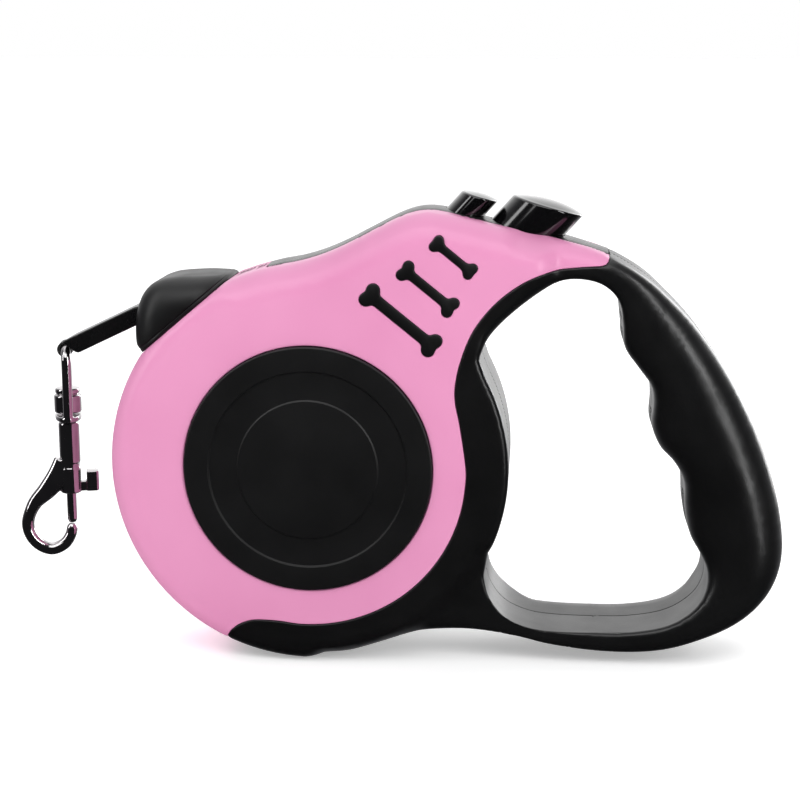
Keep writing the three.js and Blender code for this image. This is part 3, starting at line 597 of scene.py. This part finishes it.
def solid(name, rings, closed=False, sharp=35):
    """Joins rings of points into a tube; its ends are closed by faces unless closed is True."""
    mesh = bmesh.new()
    rows = [[mesh.verts.new(p) for p in ring] for ring in rings]
    following = rows[1:] + (rows[:1] if closed else [])
    for first, second in zip(rows, following):
        for i in range(len(first)):
            mesh.faces.new((first[i - 1], first[i], second[i], second[i - 1]))
    if not closed:
        mesh.faces.new(rows[0])
        mesh.faces.new(rows[-1][::-1])
    bmesh.ops.remove_doubles(mesh, verts=mesh.verts[:], dist=1e-6)
    bmesh.ops.recalc_face_normals(mesh, faces=mesh.faces[:])
    return finish_mesh(name, mesh, sharp)


def lathe(name, profile, count, at, sharp=30):
    """Turns a closed profile of (radius, height) into a solid; at() gives each point's place."""
    rings = []
    for angle in np.linspace(0, 2 * pi, count, endpoint=False):
        rings.append([place(*at(r, angle, h)) for r, h in profile])
    return solid(name, rings, closed=True, sharp=sharp)


def rounded(profile, radii, count=5):
    """A closed profile with its corners rounded; radii holds one number per corner."""
    result = []
    p = np.array(profile, float)
    for i, radius in enumerate(radii):
        here, back, ahead = p[i], p[i - 1], p[(i + 1) % len(p)]
        if radius == 0:
            result.append(here)
            continue
        a = here + (back - here) / hypot(*(back - here)) * radius
        b = here + (ahead - here) / hypot(*(ahead - here)) * radius
        for t in np.linspace(0, 1, count):
            result.append(a * (1 - t)**2 + here * 2 * t * (1 - t) + b * t**2)
    return np.array(result)


def swept(name, line, section):
    """A solid with one section of (y, distance from the line) all along a line."""
    rings = []
    for point, normal in zip(line, normals(line)):
        rings.append([place(point[0] + normal[0] * d, y, point[1] + normal[1] * d) for y, d in section])
    return solid(name, rings)


def rectangle(low, high):
    """Corners of a rectangle, from two opposite ones."""
    return [low, (high[0], low[1]), high, (low[0], high[1])]


def tube_rings(line, radii, count=20, up=(0, 1, 0)):
    """Rings of a round wire along a line of 3-D points."""
    p = np.array(line, float)
    along = np.gradient(p, axis=0)
    along /= np.linalg.norm(along, axis=1)[:, None]
    rings = []
    for point, way, radius in zip(p, along, radii):
        side = np.array(up, float) - way * (np.array(up, float) @ way)
        side /= np.linalg.norm(side)
        other = np.cross(way, side)
        turns = np.linspace(0, 2 * pi, count, endpoint=False)
        rings.append([point + radius * (cos(t) * side + sin(t) * other) for t in turns])
    return rings


def modify(made, kind, **settings):
    """Applies one modifier to an object's mesh."""
    modifier = made.modifiers.new(kind, kind)
    for key, value in settings.items():
        setattr(modifier, key, value)
    graph = bpy.context.evaluated_depsgraph_get()
    data = bpy.data.meshes.new_from_object(made.evaluated_get(graph))
    made.modifiers.clear()
    made.data = data
    return made


def resharpen(made, sharp=30):
    """Marks the edges that look sharp again after a change of the mesh."""
    mesh = bmesh.new()
    mesh.from_mesh(made.data)
    bmesh.ops.dissolve_degenerate(mesh, dist=1e-7, edges=mesh.edges[:])
    shade(mesh, sharp)
    mesh.to_mesh(made.data)
    mesh.free()
    return made


def combine(made, *others, operation="DIFFERENCE", sharp=30):
    """Cuts other solids out of one, or adds them to it, and removes them."""
    for other in others:
        modify(made, "BOOLEAN", object=other, operation=operation, solver="MANIFOLD")
        bpy.data.objects.remove(other)
    return resharpen(made, sharp)


# ---- pieces of the housing


def cap(name, side):
    """Round cap with a shallow ring channel in its face."""
    inner, outer = CAP_CHANNEL
    low, mid, edge = CAP_TOP - 0.4, CAP_TOP - 0.12, CAP_RADIUS - 0.02
    profile = [
        (0.01, CAP_RECESS + 0.1), (edge, CAP_RECESS + 0.1), (edge, CAP_TOP), (outer + 0.15, CAP_TOP),
        (outer - 0.15, low), (inner + 0.15, low), (inner - 0.15, mid), (0.01, mid),
    ]
    shape = rounded(profile, (0, 0, 0.55, 0.12, 0.12, 0.12, 0.12, 0))
    return lathe(name, shape, 180, lambda r, t, h: (r * cos(t), side * h, r * sin(t)), sharp=50)


def bone(name, size, side):
    """Bone inlaid in the shell, with a rounded upper edge."""
    steps = ((0.0, BONE_SEAT + 0.1), (0.0, BONE_TOP - 0.2), (-0.05, BONE_TOP - 0.07), (-0.18, BONE_TOP))
    rings = []
    for grow, height in steps:
        rings.append([place(x, side * height, z) for x, z in bone_outline(*size, grow=grow)])
    return solid(name, rings, sharp=50)


def button_rings(size, grow=0.0, low=None, high=None):
    """Rings of a button up to its domed top, or with low and high, of a straight rod between the two."""
    (x, z), a, b, top = size["base"], size["a"] + grow, size["b"] + grow, size["height"]
    bevel = 0.55
    levels = [(low if low is not None else size["foot"], 1.0)]
    if high is not None:
        levels.append((high, 1.0))
    else:
        for t in np.linspace(0, pi / 2, 6):
            levels.append((top - bevel + bevel * sin(t) - 0.25, 1 - bevel / a * (1 - cos(t))))
        edge = levels[-1]
        for s in np.linspace(0.08, 1, 9)[:-1] ** 0.8:
            share = 1 - s
            levels.append((edge[0] + size["dome"] * (1 - share**2), edge[1] * share))
    slope = (cos(BUTTON_SLOPE), -sin(BUTTON_SLOPE))
    rings = []
    for height, share in levels:
        ring = []
        for t in np.linspace(0, 2 * pi, 72, endpoint=False):
            u, v = a * share * cos(t), b * share * sin(t)
            ring.append(place(x + PUSH.x * height + slope[0] * u, v, z + PUSH.z * height + slope[1] * u))
        rings.append(ring)
    return rings


def button_wells():
    """Solids that cut each button's hole, with a gap round the button."""
    return [solid(f"well_{index}", button_rings(size, BUTTON_GAP, -12, 12))
            for index, size in enumerate((BRAKE, LOCK))]


def top_strip():
    """Band along the top line between the shells, with an opening round each button."""
    corners = [(-STRIP_HALF, SKIN), (-STRIP_HALF, 0), (STRIP_HALF, 0), (STRIP_HALF, SKIN)]
    section = rounded(corners, (0, 0.4, 0.4, 0))
    top = np.linspace(-STRIP_HALF + 0.5, STRIP_HALF - 0.5, 9)[1:-1]
    section = np.vstack([section[:6], np.column_stack([top, 0 * top]), section[6:]])
    crown = 0.45
    section[:, 1] -= crown * (1 - (section[:, 0] / STRIP_HALF)**2) * (section[:, 1] < 1)
    return swept("strip_band", STRIP_PATH, section)


NOZZLE_LINE = [
    (-18.3, 42.35), (-18.6, 42.6), (-19.6, 42.8), (-22, 42.75), (-25, 42.7), (-28, 42.6),
    (-31, 42.4), (-33.6, 42.0), (-36.3, 40.9), (-38.2, 39.1), (-39.4, 36.9), (-40.2, 34.2),
    (-40.5, 31.2), (-40.5, 28.6), (-40.2, 26.6), (-39.15, 24.85),
]
OFF_SEAT = np.array([-0.645, 0.764])  # direction away from the flat under the nozzle


def nozzle_net(crown, seat):
    """Triangles over the nozzle's side, closer along its outline and along the groove above its seat."""
    outline, foot = close(crown), resample(seat, 0.8)
    loose = hexagonal((-46, 18), (-8, 48), 0.9)
    loose = loose[inside(loose, outline) & (distance(loose, crown) > INSETS[-1] + 0.5)]
    rows = [loose]
    for inset in INSETS:
        row = offset(crown, inset)
        rows.append(row[distance(row, crown) > 0.93 * inset])
    loose = np.vstack(rows)
    loose = loose[distance(loose, seat) > 1.6]
    ridges = [foot + OFF_SEAT * d for d in (0.08, 0.2, 0.4, 0.75, 0.95, 1.15)]
    points = np.vstack([loose] + ridges)
    points = points[inside(points, outline) & (distance(points, crown) > 0.03)]
    net = triangulate([crown, foot], points)
    return net, inside(net[0][net[1]].mean(1), outline).astype(int)


def nozzle():
    """The exit piece on the flat of the housing, with the tape's mouth in its end."""
    crown = smooth_line(NOZZLE_LINE, 0.7)
    seat = crown[[0, -1]]
    net, zones = nozzle_net(crown, seat)

    def height(p, zone):
        from_seat = distance(p, seat)
        groove = 0.3 * np.exp(-((from_seat - 0.95) / 0.18)**2)
        level = 12.6 + 1.0 * smoothstep(14, 0, from_seat) - 5.5 * smoothstep(-26, -15, p[:, 0])
        radius = 6.5 - 1.5 * smoothstep(-26, -15, p[:, 0])
        return level - rounding(soft_distance(p, crown), radius) - rounding(from_seat, 0.4) - groove

    made = relief("nozzle_body", net, zones, height, lambda p, zone: -height(p, zone), FRONT, 0)
    pocket = box_between("mouth_cut", (-47, -6.4, 29.5), (-36.2, 6.4, 36.2), 0.8)
    channel = box_between("channel_cut", (-40, -5.6, 34.2), (-8, 5.6, 36.2), 0)
    return combine(made, pocket, channel)


def box_between(name, low, high, bevel):
    """A box between two corners, with rounded edges along x."""
    section = rounded(rectangle(low[1:], high[1:]), (bevel,) * 4)
    return solid(name, [[place(x, y, z) for y, z in section] for x in (low[0], high[0])])


def screw(name, at):
    """Pan head with a cross recess, at the bottom of its well in the rear half."""
    def turned(r, t, h):
        return (at[0] + r * cos(t), h, at[1] + r * sin(t))

    head = [(0.01, 8.02), (2.3, 8.02), (2.3, 9.3), (1.2, 9.85), (0.01, 9.85)]
    made = lathe(name, rounded(head, (0, 0, 0.5, 0.3, 0)), 40, turned)
    cuts = []
    for turn in (0, pi / 2):
        ring = []
        for y, half in ((10.5, 1.5), (8.9, 0.9)):
            for u, v in ((-half, -0.22), (half, -0.22), (half, 0.22), (-half, 0.22)):
                x, z = u * cos(turn) - v * sin(turn), u * sin(turn) + v * cos(turn)
                ring.append(place(at[0] + x, y, at[1] + z))
        cuts.append(solid("cross_cut", [ring[:4], ring[4:]]))
    made = combine(made, *cuts)
    shank = [(0.01, -7.5), (0.9, -6.9), (1.25, -6.5), (1.25, 8.1), (0.01, 8.1)]
    return combine(made, lathe("shank", shank, 20, turned), operation="UNION")


# ---- leash end and snap


def sleeve():
    """Hard sleeve round the tape's end, with rounded edges and a slanted outer end."""
    along = np.array([-cos(DROOP), -sin(DROOP)])
    up = np.array([along[1], -along[0]])
    half, deep = SLEEVE["half"], SLEEVE["thick"] / 2
    length = SLEEVE["length"]
    ends = [(0.0, 0.55), (0.15, 0.25), (0.5, 0.04), (0.9, 0)]  # distance from the end, and inset there
    places = ends + [(length * k / 8, 0) for k in range(1, 8)]
    places += [(length - t, s) for t, s in ends[::-1]]
    rings = []
    for t, inset in places:
        corner = (half - inset, deep - inset)
        section = rounded(rectangle((-corner[0], -corner[1]), corner), (0.5,) * 4, 7)
        share = t / length
        ring = []
        for y, h in section:
            slant = t + h * 0.55 * smoothstep(0.7, 1, share)
            x = SLEEVE["x"] + along[0] * slant + up[0] * h
            z = SLEEVE["z"] + along[1] * slant + up[1] * h
            ring.append(place(x, y, z))
        rings.append(ring)
    return solid("sleeve_bar", rings, sharp=50)


def tape_loop():
    """Closed loop of tape that the bow of the snap hangs in."""
    profile = rounded(rectangle((1.3, -2.2), (1.8, 2.2)), (0.2,) * 4)
    turn = radians(8)

    def at(r, t, h):
        x, z = r * cos(t), r * sin(t)
        return (SNAP_X + x * cos(turn) - h * sin(turn), x * sin(turn) + h * cos(turn), EYE_TOP + z)

    return lathe("loop_of_tape", profile, 48, at)


def tape():
    """The tape in the mouth: flat webbing with a turned edge, which runs out of the mouth to the leash end."""
    line = smooth_line([(-6, 35.15), (-18, 35.14), (-30, 35.12), (-35.6, 34.65), (-39.8, 33.3)], 0.5)
    section = rounded(rectangle((-4.9, -0.45), (4.9, 0.45)), (0.35,) * 4)
    return swept("tape_strip", line, section)


def hung(point):
    """Turns a point of the upright snap by its yaw and moves it under the tape loop."""
    x, y, z = point
    turned = (x * cos(SNAP_YAW) - y * sin(SNAP_YAW), x * sin(SNAP_YAW) + y * cos(SNAP_YAW))
    return place(SNAP_X + turned[0], turned[1], z)


def hung_lathe(name, profile, count=48, scale=(1, 1)):
    """A solid turned round the snap's upright axis, stretched by scale along x and y."""
    def at(r, t, h):
        return unplace(hung((r * scale[0] * cos(t), r * scale[1] * sin(t), h)))

    return lathe(name, profile, count, at)


def unplace(point):
    """The reverse of place()."""
    return ((point.x - REEL.x) / MM, point.y / MM, (point.z - REEL.z) / MM)


def hung_rings(rings):
    return [[hung(p) for p in ring] for ring in rings]


def snap_eye():
    """A wire bow whose two ends meet in an oval foot."""
    half, top, corner, base, wire = 4.9, EYE_TOP, 2.6, 7.9, 1.15
    foot_low, foot_high, foot_half = 7.4, 8.7, 3.1
    line = [(0, -half, base), (0, -half, 12)]
    line += [(0, -half, z) for z in np.linspace(12.5, top - corner, 12)]
    for t in np.linspace(0, pi / 2, 9)[1:]:
        line.append((0, -half + corner * (1 - cos(t)), top - corner + corner * sin(t)))
    line += [(0, y, top) for y in np.linspace(-half + corner, half - corner, 6)[1:-1]]
    for t in np.linspace(0, pi / 2, 9):
        line.append((0, half - corner * (1 - sin(t)), top - corner + corner * cos(t)))
    line += [(0, half, z) for z in np.linspace(top - corner, 12.5, 12)[1:]]
    line += [(0, half, 12), (0, half, base)]
    bow = solid("bow_wire", hung_rings(tube_rings(line, [wire] * len(line), 20, up=(1, 0, 0))))
    foot = rectangle((0.01, foot_low), (foot_half, foot_high))
    plate = hung_lathe("bow_foot", rounded(foot, (0, 0.4, 0.4, 0)), 48, (1, (half + wire) / foot_half))
    return plate, bow


def snap_hook():
    """Swivel barrel with its head and neck, and the cast hook that grows out of it."""
    profile = rounded([
        (0.01, -10.6), (2.45, -10.6), (2.45, -4.6), (2.2, -4.2), (2.2, -3.4), (2.45, -3.0),
        (2.45, 6.4), (1.8, 7.1), (1.3, 7.1), (1.3, 9), (3.2, 9), (3.2, 13.3), (2.3, 13.45),
        (2.9, 13.8), (2.9, 14.9), (0.01, 15.1),
    ], (0, 0.4, 0.15, 0.1, 0.1, 0.15, 0.3, 0.2, 0, 0, 0.5, 0.4, 0.1, 0.1, 0.5, 0))
    barrel = hung_lathe("snap_barrel", profile)
    line = smooth_3d([
        (-1.2, -3.0), (-3.0, -6.6), (-5.6, -9.8), (-8.7, -13), (-10.4, -17.2), (-9.9, -20.6),
        (-7.9, -23.2), (-5, -24.4), (-2.1, -23.3), (-0.5, -21.0), (0, -18.3),
    ])
    share = np.linspace(0, 1, len(line))
    web = 1 - smoothstep(0.08, 0.45, share)
    radii = 1.5 + 1.2 * web - 0.2 * smoothstep(0.75, 1, share)
    radii[-1] *= 0.6
    radii[-2] *= 0.85
    rings = []
    for ring, w in zip(tube_rings(line, radii, 24), web):
        rings.append([(x, y * (1 - 0.38 * w), z) for x, y, z in ring])
    hook = solid("snap_hook", hung_rings(rings))
    return barrel, hook


def smooth_3d(points, step=0.5):
    """A smooth curve in the snap's middle plane."""
    return [(x, 0, z) for x, z in smooth_line(points, step)]


def snap_bolt():
    """Sliding bolt with its thumb piece."""
    profile = [(0.01, -18), (0.8, -18), (1.15, -17.2), (1.15, -4), (0.01, -4)]
    parts = [hung_lathe("bolt_pin", rounded(profile, (0, 0.2, 0.1, 0.2, 0)), 28)]
    for name, low, high, bevel in (("bolt_arm", (0.4, -0.8, -10.3), (5.2, 0.8, -7.9), 0.2),
                                   ("bolt_thumb", (3.7, -1.5, -10.3), (6.6, 1.5, -5.3), 0.45)):
        (x0, y0, z0), (x1, y1, z1) = low, high
        section = rounded(rectangle((y0, z0), (y1, z1)), (bevel,) * 4)
        inner = rectangle((y0 + bevel, z0 + bevel), (y1 - bevel, z1 - bevel))
        inner = rounded(inner, (bevel * 0.3,) * 4)
        between = section * 0.6 + inner * 0.4
        rows = [(x0, section), (x1 - bevel, section), (x1 - bevel * 0.3, between), (x1, inner)]
        parts.append(solid(name, [[hung((x, y, z)) for y, z in ring] for x, ring in rows]))
    return parts


def melt(first, *others, voxel=0.16, passes=4):
    """Joins solids into one casting with small fillets where they meet."""
    made = combine(first, *others, operation="UNION")
    modify(made, "REMESH", mode="VOXEL", voxel_size=voxel * MM, use_smooth_shade=True)
    modify(made, "SMOOTH", factor=0.5, iterations=passes)
    return resharpen(made, 70)


# ---- materials


class Surface:
    """A procedural material: slow colour drift, fine grain in the bump, and uneven gloss."""

    def __init__(self, name):
        self.material = bpy.data.materials.new(name)
        self.material.use_nodes = True
        self.nodes = self.material.node_tree.nodes
        self.links = self.material.node_tree.links
        self.shader = self.nodes["Principled BSDF"]
        self.coordinates = self.nodes.new("ShaderNodeTexCoord").outputs["Object"]

    def noise(self, size, detail=3.0, stretch=None):
        """Noise whose features are about size millimetres."""
        node = self.nodes.new("ShaderNodeTexNoise")
        node.inputs["Scale"].default_value = 1000 / size
        node.inputs["Detail"].default_value = detail
        source = self.coordinates
        if stretch:
            mapping = self.nodes.new("ShaderNodeMapping")
            mapping.inputs["Scale"].default_value = stretch
            self.links.new(source, mapping.inputs["Vector"])
            source = mapping.outputs["Vector"]
        self.links.new(source, node.inputs["Vector"])
        return node.outputs["Fac"]

    def wave(self, direction, pitch, **values):
        """Bands pitch millimetres apart, counted along an axis."""
        node = self.nodes.new("ShaderNodeTexWave")
        node.bands_direction = direction
        node.inputs["Scale"].default_value = 0.314 * 1000 / pitch
        for key, value in values.items():
            node.inputs[key.replace("_", " ")].default_value = value
        self.links.new(self.coordinates, node.inputs["Vector"])
        return node.outputs["Fac"]

    def colour(self, factor, *stops):
        """Base colour that runs with the factor between two stops of (position, colour)."""
        ramp = self.nodes.new("ShaderNodeValToRGB")
        for element, (position, shade) in zip(ramp.color_ramp.elements, stops):
            element.position, element.color = position, (*shade, 1)
        self.links.new(factor, ramp.inputs["Fac"])
        self.links.new(ramp.outputs["Color"], self.shader.inputs["Base Color"])

    def gloss(self, factor, low, high):
        """Roughness that runs with the factor between two values."""
        node = self.nodes.new("ShaderNodeMapRange")
        node.inputs["From Min"].default_value, node.inputs["From Max"].default_value = 0.3, 0.7
        node.inputs["To Min"].default_value, node.inputs["To Max"].default_value = low, high
        self.links.new(factor, node.inputs["Value"])
        self.links.new(node.outputs["Result"], self.shader.inputs["Roughness"])

    def bump(self, factor, depth):
        """Bump of the given depth in millimetres."""
        node = self.nodes.new("ShaderNodeBump")
        node.inputs["Distance"].default_value = depth * MM
        self.links.new(factor, node.inputs["Height"])
        previous = self.shader.inputs["Normal"].links
        if previous:
            self.links.new(previous[0].from_socket, node.inputs["Normal"])
        self.links.new(node.outputs["Normal"], self.shader.inputs["Normal"])

    def set(self, **values):
        """Sets single values on the shader's own sockets."""
        for key, value in values.items():
            self.shader.inputs[key.replace("_", " ")].default_value = value
        return self.material


def rgb(red, green, blue):
    """Linear colour from eight-bit display values."""
    return tuple((v / 12.92 if v <= 0.04045 else ((v + 0.055) / 1.055)**2.4) for v in
                 (red / 255, green / 255, blue / 255))


def black(level):
    """The near-black of a plastic, from one eight-bit display value."""
    return rgb(level, level, level + 1)


def plastic(name, dark, light, gloss, grain, depth, drift=30, **values):
    """Moulded plastic; grain, depth and drift are in millimetres."""
    surface = Surface(name)
    surface.colour(surface.noise(drift, 2), (0.3, dark), (0.7, light))
    surface.gloss(surface.noise(drift / 4, 4), *gloss)
    surface.bump(surface.noise(grain, 2), depth)
    return surface.set(**values)


def metal(name, dark, light, gloss, grain, depth, drift=6, stretch=None, **values):
    """Bare or plated metal, like plastic(); stretch draws the grain out along an axis."""
    surface = Surface(name)
    surface.colour(surface.noise(drift, 3), (0.3, dark), (0.7, light))
    surface.gloss(surface.noise(drift / 3, 4, stretch), *gloss)
    surface.bump(surface.noise(grain, 3, stretch), depth)
    return surface.set(Metallic=1.0, **values)


def ribbed(name):
    """Black plastic with fine ribs that run along the strip."""
    surface = Surface(name)
    surface.colour(surface.noise(12, 2), (0.3, black(11)), (0.7, black(17)))
    surface.gloss(surface.noise(3, 4), 0.26, 0.34)
    surface.bump(surface.wave("Y", 1.8), 0.025)
    surface.bump(surface.noise(0.28, 2), 0.012)
    return surface.material


def webbing(name):
    """Flat weave: warp threads along the tape crossed by finer weft ridges."""
    surface = Surface(name)
    both = surface.nodes.new("ShaderNodeMath")
    both.operation = "MULTIPLY"
    for socket, (direction, pitch) in enumerate((("Y", 1.24), ("X", 0.9))):
        bands = surface.wave(direction, pitch, Distortion=0.6, Detail_Scale=3)
        surface.links.new(bands, both.inputs[socket])
    surface.colour(both.outputs["Value"], (0.1, black(14)), (0.8, rgb(40, 40, 42)))
    surface.gloss(surface.noise(0.5, 3), 0.7, 0.9)
    surface.bump(both.outputs["Value"], 0.12)
    surface.bump(surface.noise(0.08, 2), 0.02)
    return surface.set(Sheen_Weight=0.35, Sheen_Roughness=0.5)


MATERIALS = {
    "shell": plastic("coloured_plastic", rgb(217, 137, 179), rgb(223, 145, 186), (0.36, 0.44), 0.35,
                     0.004, Coat_Weight=0.15, Coat_Roughness=0.25),
    "grip": plastic("textured_black_plastic", black(10), black(15), (0.30, 0.38), 0.28,
                    0.016),
    "nozzle": plastic("nozzle_black_plastic", black(11), black(16), (0.38, 0.48), 0.28,
                      0.012, Specular_IOR_Level=0.4),
    "strip": ribbed("ribbed_black_plastic"),
    "trim": plastic("satin_black_plastic", black(9), black(14), (0.24, 0.32), 0.3, 0.008),
    "cap": plastic("cap_black_plastic", black(14), black(19), (0.38, 0.46), 0.35, 0.012,
                   Specular_IOR_Level=0.4),
    "bone": plastic("inlay_black_plastic", black(11), black(16), (0.34, 0.42), 0.3, 0.008),
    "button": plastic("gloss_black_plastic", black(6), black(10), (0.10, 0.16), 1.5, 0.002,
                      Coat_Weight=0.5, Coat_Roughness=0.06),
    "snap": metal("chromed_casting", (0.44, 0.42, 0.43), (0.54, 0.52, 0.53), (0.07, 0.13), 1.2, 0.006),
    "webbing": webbing("nylon_webbing"),
    "reel": plastic("acetal", rgb(214, 208, 196), rgb(228, 223, 212), (0.4, 0.52), 0.3, 0.01),
    "steel": metal("zinc_plated_steel", (0.50, 0.50, 0.51), (0.62, 0.62, 0.64), (0.24, 0.38), 0.2,
                   0.006),
    "spring": metal("spring_steel", (0.34, 0.34, 0.36), (0.46, 0.46, 0.48), (0.22, 0.36), 0.15,
                    0.004, stretch=(1, 8, 1)),
    "bush": metal("brass", (0.62, 0.44, 0.17), (0.74, 0.55, 0.25), (0.26, 0.38), 0.3, 0.005),
}


def dress(made, slot, body, *nodes):
    """Gives a piece the material of its slot, hangs it on its body, and hides the CAD nodes that it stands for."""
    made.data.materials.clear()
    made.data.materials.append(MATERIALS[slot])
    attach(made, body)
    if nodes:
        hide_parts(*nodes)


# ---- assembly


def body_half(net, side, half):
    """The coloured shell, the grip, the cap and the bones of one half of the body."""
    def outer(points, zone):
        return outer_height(points, zone, side)

    zones = body_zones(net, True, side)
    shell = relief(f"coloured_shell_{half}", net, zones, outer, inner_height, side)
    combine(shell, *button_wells(), sharp=35)
    modify(shell, "WEIGHTED_NORMAL", keep_sharp=True)
    dress(shell, "shell", "housing", f"shell_{half}")
    zones = body_zones(net, False, side)
    grip = relief(f"black_grip_{half}", net, zones, outer, inner_height, side)
    modify(grip, "WEIGHTED_NORMAL", keep_sharp=True)
    dress(grip, "grip", "housing", f"grip_{half}")
    dress(cap(f"round_cap_{half}", side), "cap", "housing", f"cap_{half}")
    for kind, size in BONES.items():
        dress(bone(f"inlay_{kind}_{half}", size, side), "bone", "housing", f"bone_{kind}_{half}")


NET = body_net()
body_half(NET, FRONT, "front")
body_half(NET, REAR, "rear")

strip = top_strip()
combine(strip, *button_wells())
dress(strip, "trim", "housing", "top_strip")
strip.data.materials[0] = MATERIALS["strip"]
mouth = nozzle()
dress(mouth, "trim", "housing", "exit_nozzle")
mouth.data.materials[0] = MATERIALS["nozzle"]
for node, at in SCREWS.items():
    cad = "screw_housing_lower" if node == "housing" else f"screw_grip_{node}"
    dress(screw(f"cross_head_{node}", at), "steel", "housing", cad)

dress(solid("brake_key", button_rings(BRAKE), sharp=50), "button", "brake", "brake_button")
dress(solid("lock_key", button_rings(LOCK), sharp=50), "button", "lock", "lock_button")

dress(sleeve(), "trim", "leash_end", "tape_end_sleeve")
dress(tape_loop(), "webbing", "leash_end", "tape_loop")
strap = tape()
strap.data.materials.append(MATERIALS["webbing"])
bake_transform(strap)
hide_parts("tape_run")

dress(melt(*snap_eye()), "snap", "eye", "snap_eye")
dress(melt(*snap_hook()), "snap", "snap", "snap_body")
dress(melt(*snap_bolt(), voxel=0.13, passes=2), "snap", "bolt", "snap_bolt")

for node, still, moving in (("brake_spring", "housing", "brake"), ("lock_spring", "housing", "lock"),
                            ("bolt_spring", "snap", "bolt")):
    coil = add(f"{node}_coil", frame["nodes"][node].data.copy())
    low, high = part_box(node)
    if moving == "bolt":
        low, high = high, low
    coil.data.materials.clear()
    coil.data.materials.append(MATERIALS["spring"])
    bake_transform(coil)
    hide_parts(node)

for part in frame["record"]["subparts"]:
    data = frame["nodes"][part["node"]].data
    data.materials.clear()
    data.materials.append(MATERIALS[part["material_slot"]])


# ---- light, floor and camera


def softbox(name, location, target, size, energy):
    """A rectangular light that points at target and that the camera doesn't see."""
    data = bpy.data.lights.new(name, "AREA")
    data.shape, data.size, data.size_y = "RECTANGLE", *size
    data.energy = energy
    made = add(name, data)
    made.location = location
    made.rotation_euler = (Vector(target) - Vector(location)).to_track_quat("-Z", "Y").to_euler()
    made.visible_camera = False


def studio():
    """Soft light from above and in front, and a white world that is brightest behind the leash."""
    sun = bpy.data.lights.new("overhead", "SUN")
    sun.energy, sun.angle = 0.95, radians(75)
    made = add("overhead", sun)
    made.rotation_euler = (radians(8), radians(-6), 0)
    softbox("front_box", (-0.05, -0.85, 1.0), (0, 0, 0.05), (1.2, 0.7), 5.4)
    softbox("left_box", (-0.8, -0.35, 0.5), (0, 0, 0.06), (0.2, 0.8), 2.4)
    softbox("right_box", (0.55, 0.8, 0.3), (0.05, 0, 0.05), (0.3, 0.8), 4.4)
    softbox("streak_box", (0.70, -0.54, 0.28), (0.07, 0, 0.06), (0.1, 0.8), 3.6)
    world = bpy.data.worlds.new("white_studio")
    bpy.context.scene.world = world
    world.use_nodes = True
    nodes, links = world.node_tree.nodes, world.node_tree.links
    seen, lit = nodes["Background"], nodes.new("ShaderNodeBackground")
    seen.inputs["Color"].default_value = (1, 1, 1, 1)
    lit.inputs["Strength"].default_value = 1.35
    backwards = nodes.new("ShaderNodeVectorMath")
    backwards.operation = "DOT_PRODUCT"
    backwards.inputs[1].default_value = (0, 0.9, 0.45)
    links.new(nodes.new("ShaderNodeTexCoord").outputs["Generated"], backwards.inputs[0])
    ramp = nodes.new("ShaderNodeValToRGB")
    first, last = ramp.color_ramp.elements
    first.position, first.color = 0.0, (0.012, 0.012, 0.013, 1)
    last.position, last.color = 0.95, (1, 1, 1, 1)
    middle = ramp.color_ramp.elements.new(0.5)
    middle.color = (0.20, 0.20, 0.21, 1)
    links.new(backwards.outputs["Value"], ramp.inputs["Fac"])
    links.new(ramp.outputs["Color"], lit.inputs["Color"])
    path, mix = nodes.new("ShaderNodeLightPath"), nodes.new("ShaderNodeMixShader")
    links.new(path.outputs["Is Camera Ray"], mix.inputs["Fac"])
    links.new(lit.outputs["Background"], mix.inputs[1])
    links.new(seen.outputs["Background"], mix.inputs[2])
    links.new(mix.outputs["Shader"], nodes["World Output"].inputs["Surface"])


def floor():
    """A plain pale floor that reaches past the horizon."""
    mesh = bmesh.new()
    corners = [(-60, -60), (60, -60), (60, 60), (-60, 60)]
    mesh.faces.new([mesh.verts.new((x, y, -0.0001)) for x, y in corners])
    made = finish_mesh("studio_floor", mesh)
    pale = plastic("pale_floor", rgb(247, 247, 247), rgb(251, 251, 251), (0.8, 0.9), 3, 0.01, drift=300,
                   Emission_Color=(1, 1, 1, 1), Emission_Strength=0.33)
    made.data.materials.append(pale)
    made.visible_glossy = False


def camera():
    """The view from slightly right of the front and from above."""
    azimuth, elevation, reach = radians(4.5), radians(11.5), 0.3963
    look = Vector((-sin(azimuth) * cos(elevation), cos(azimuth) * cos(elevation), -sin(elevation)))
    data = bpy.data.cameras.new("camera")
    data.lens, data.sensor_width, data.clip_start = 76.5, 36, 0.01
    made = add("camera", data)
    made.location = place(19.7, 0, 13.1) - look * reach
    made.rotation_euler = look.to_track_quat("-Z", "Y").to_euler()
    bpy.context.scene.camera = made


studio()
floor()
camera()
bpy.context.scene.view_settings.view_transform = "Standard"
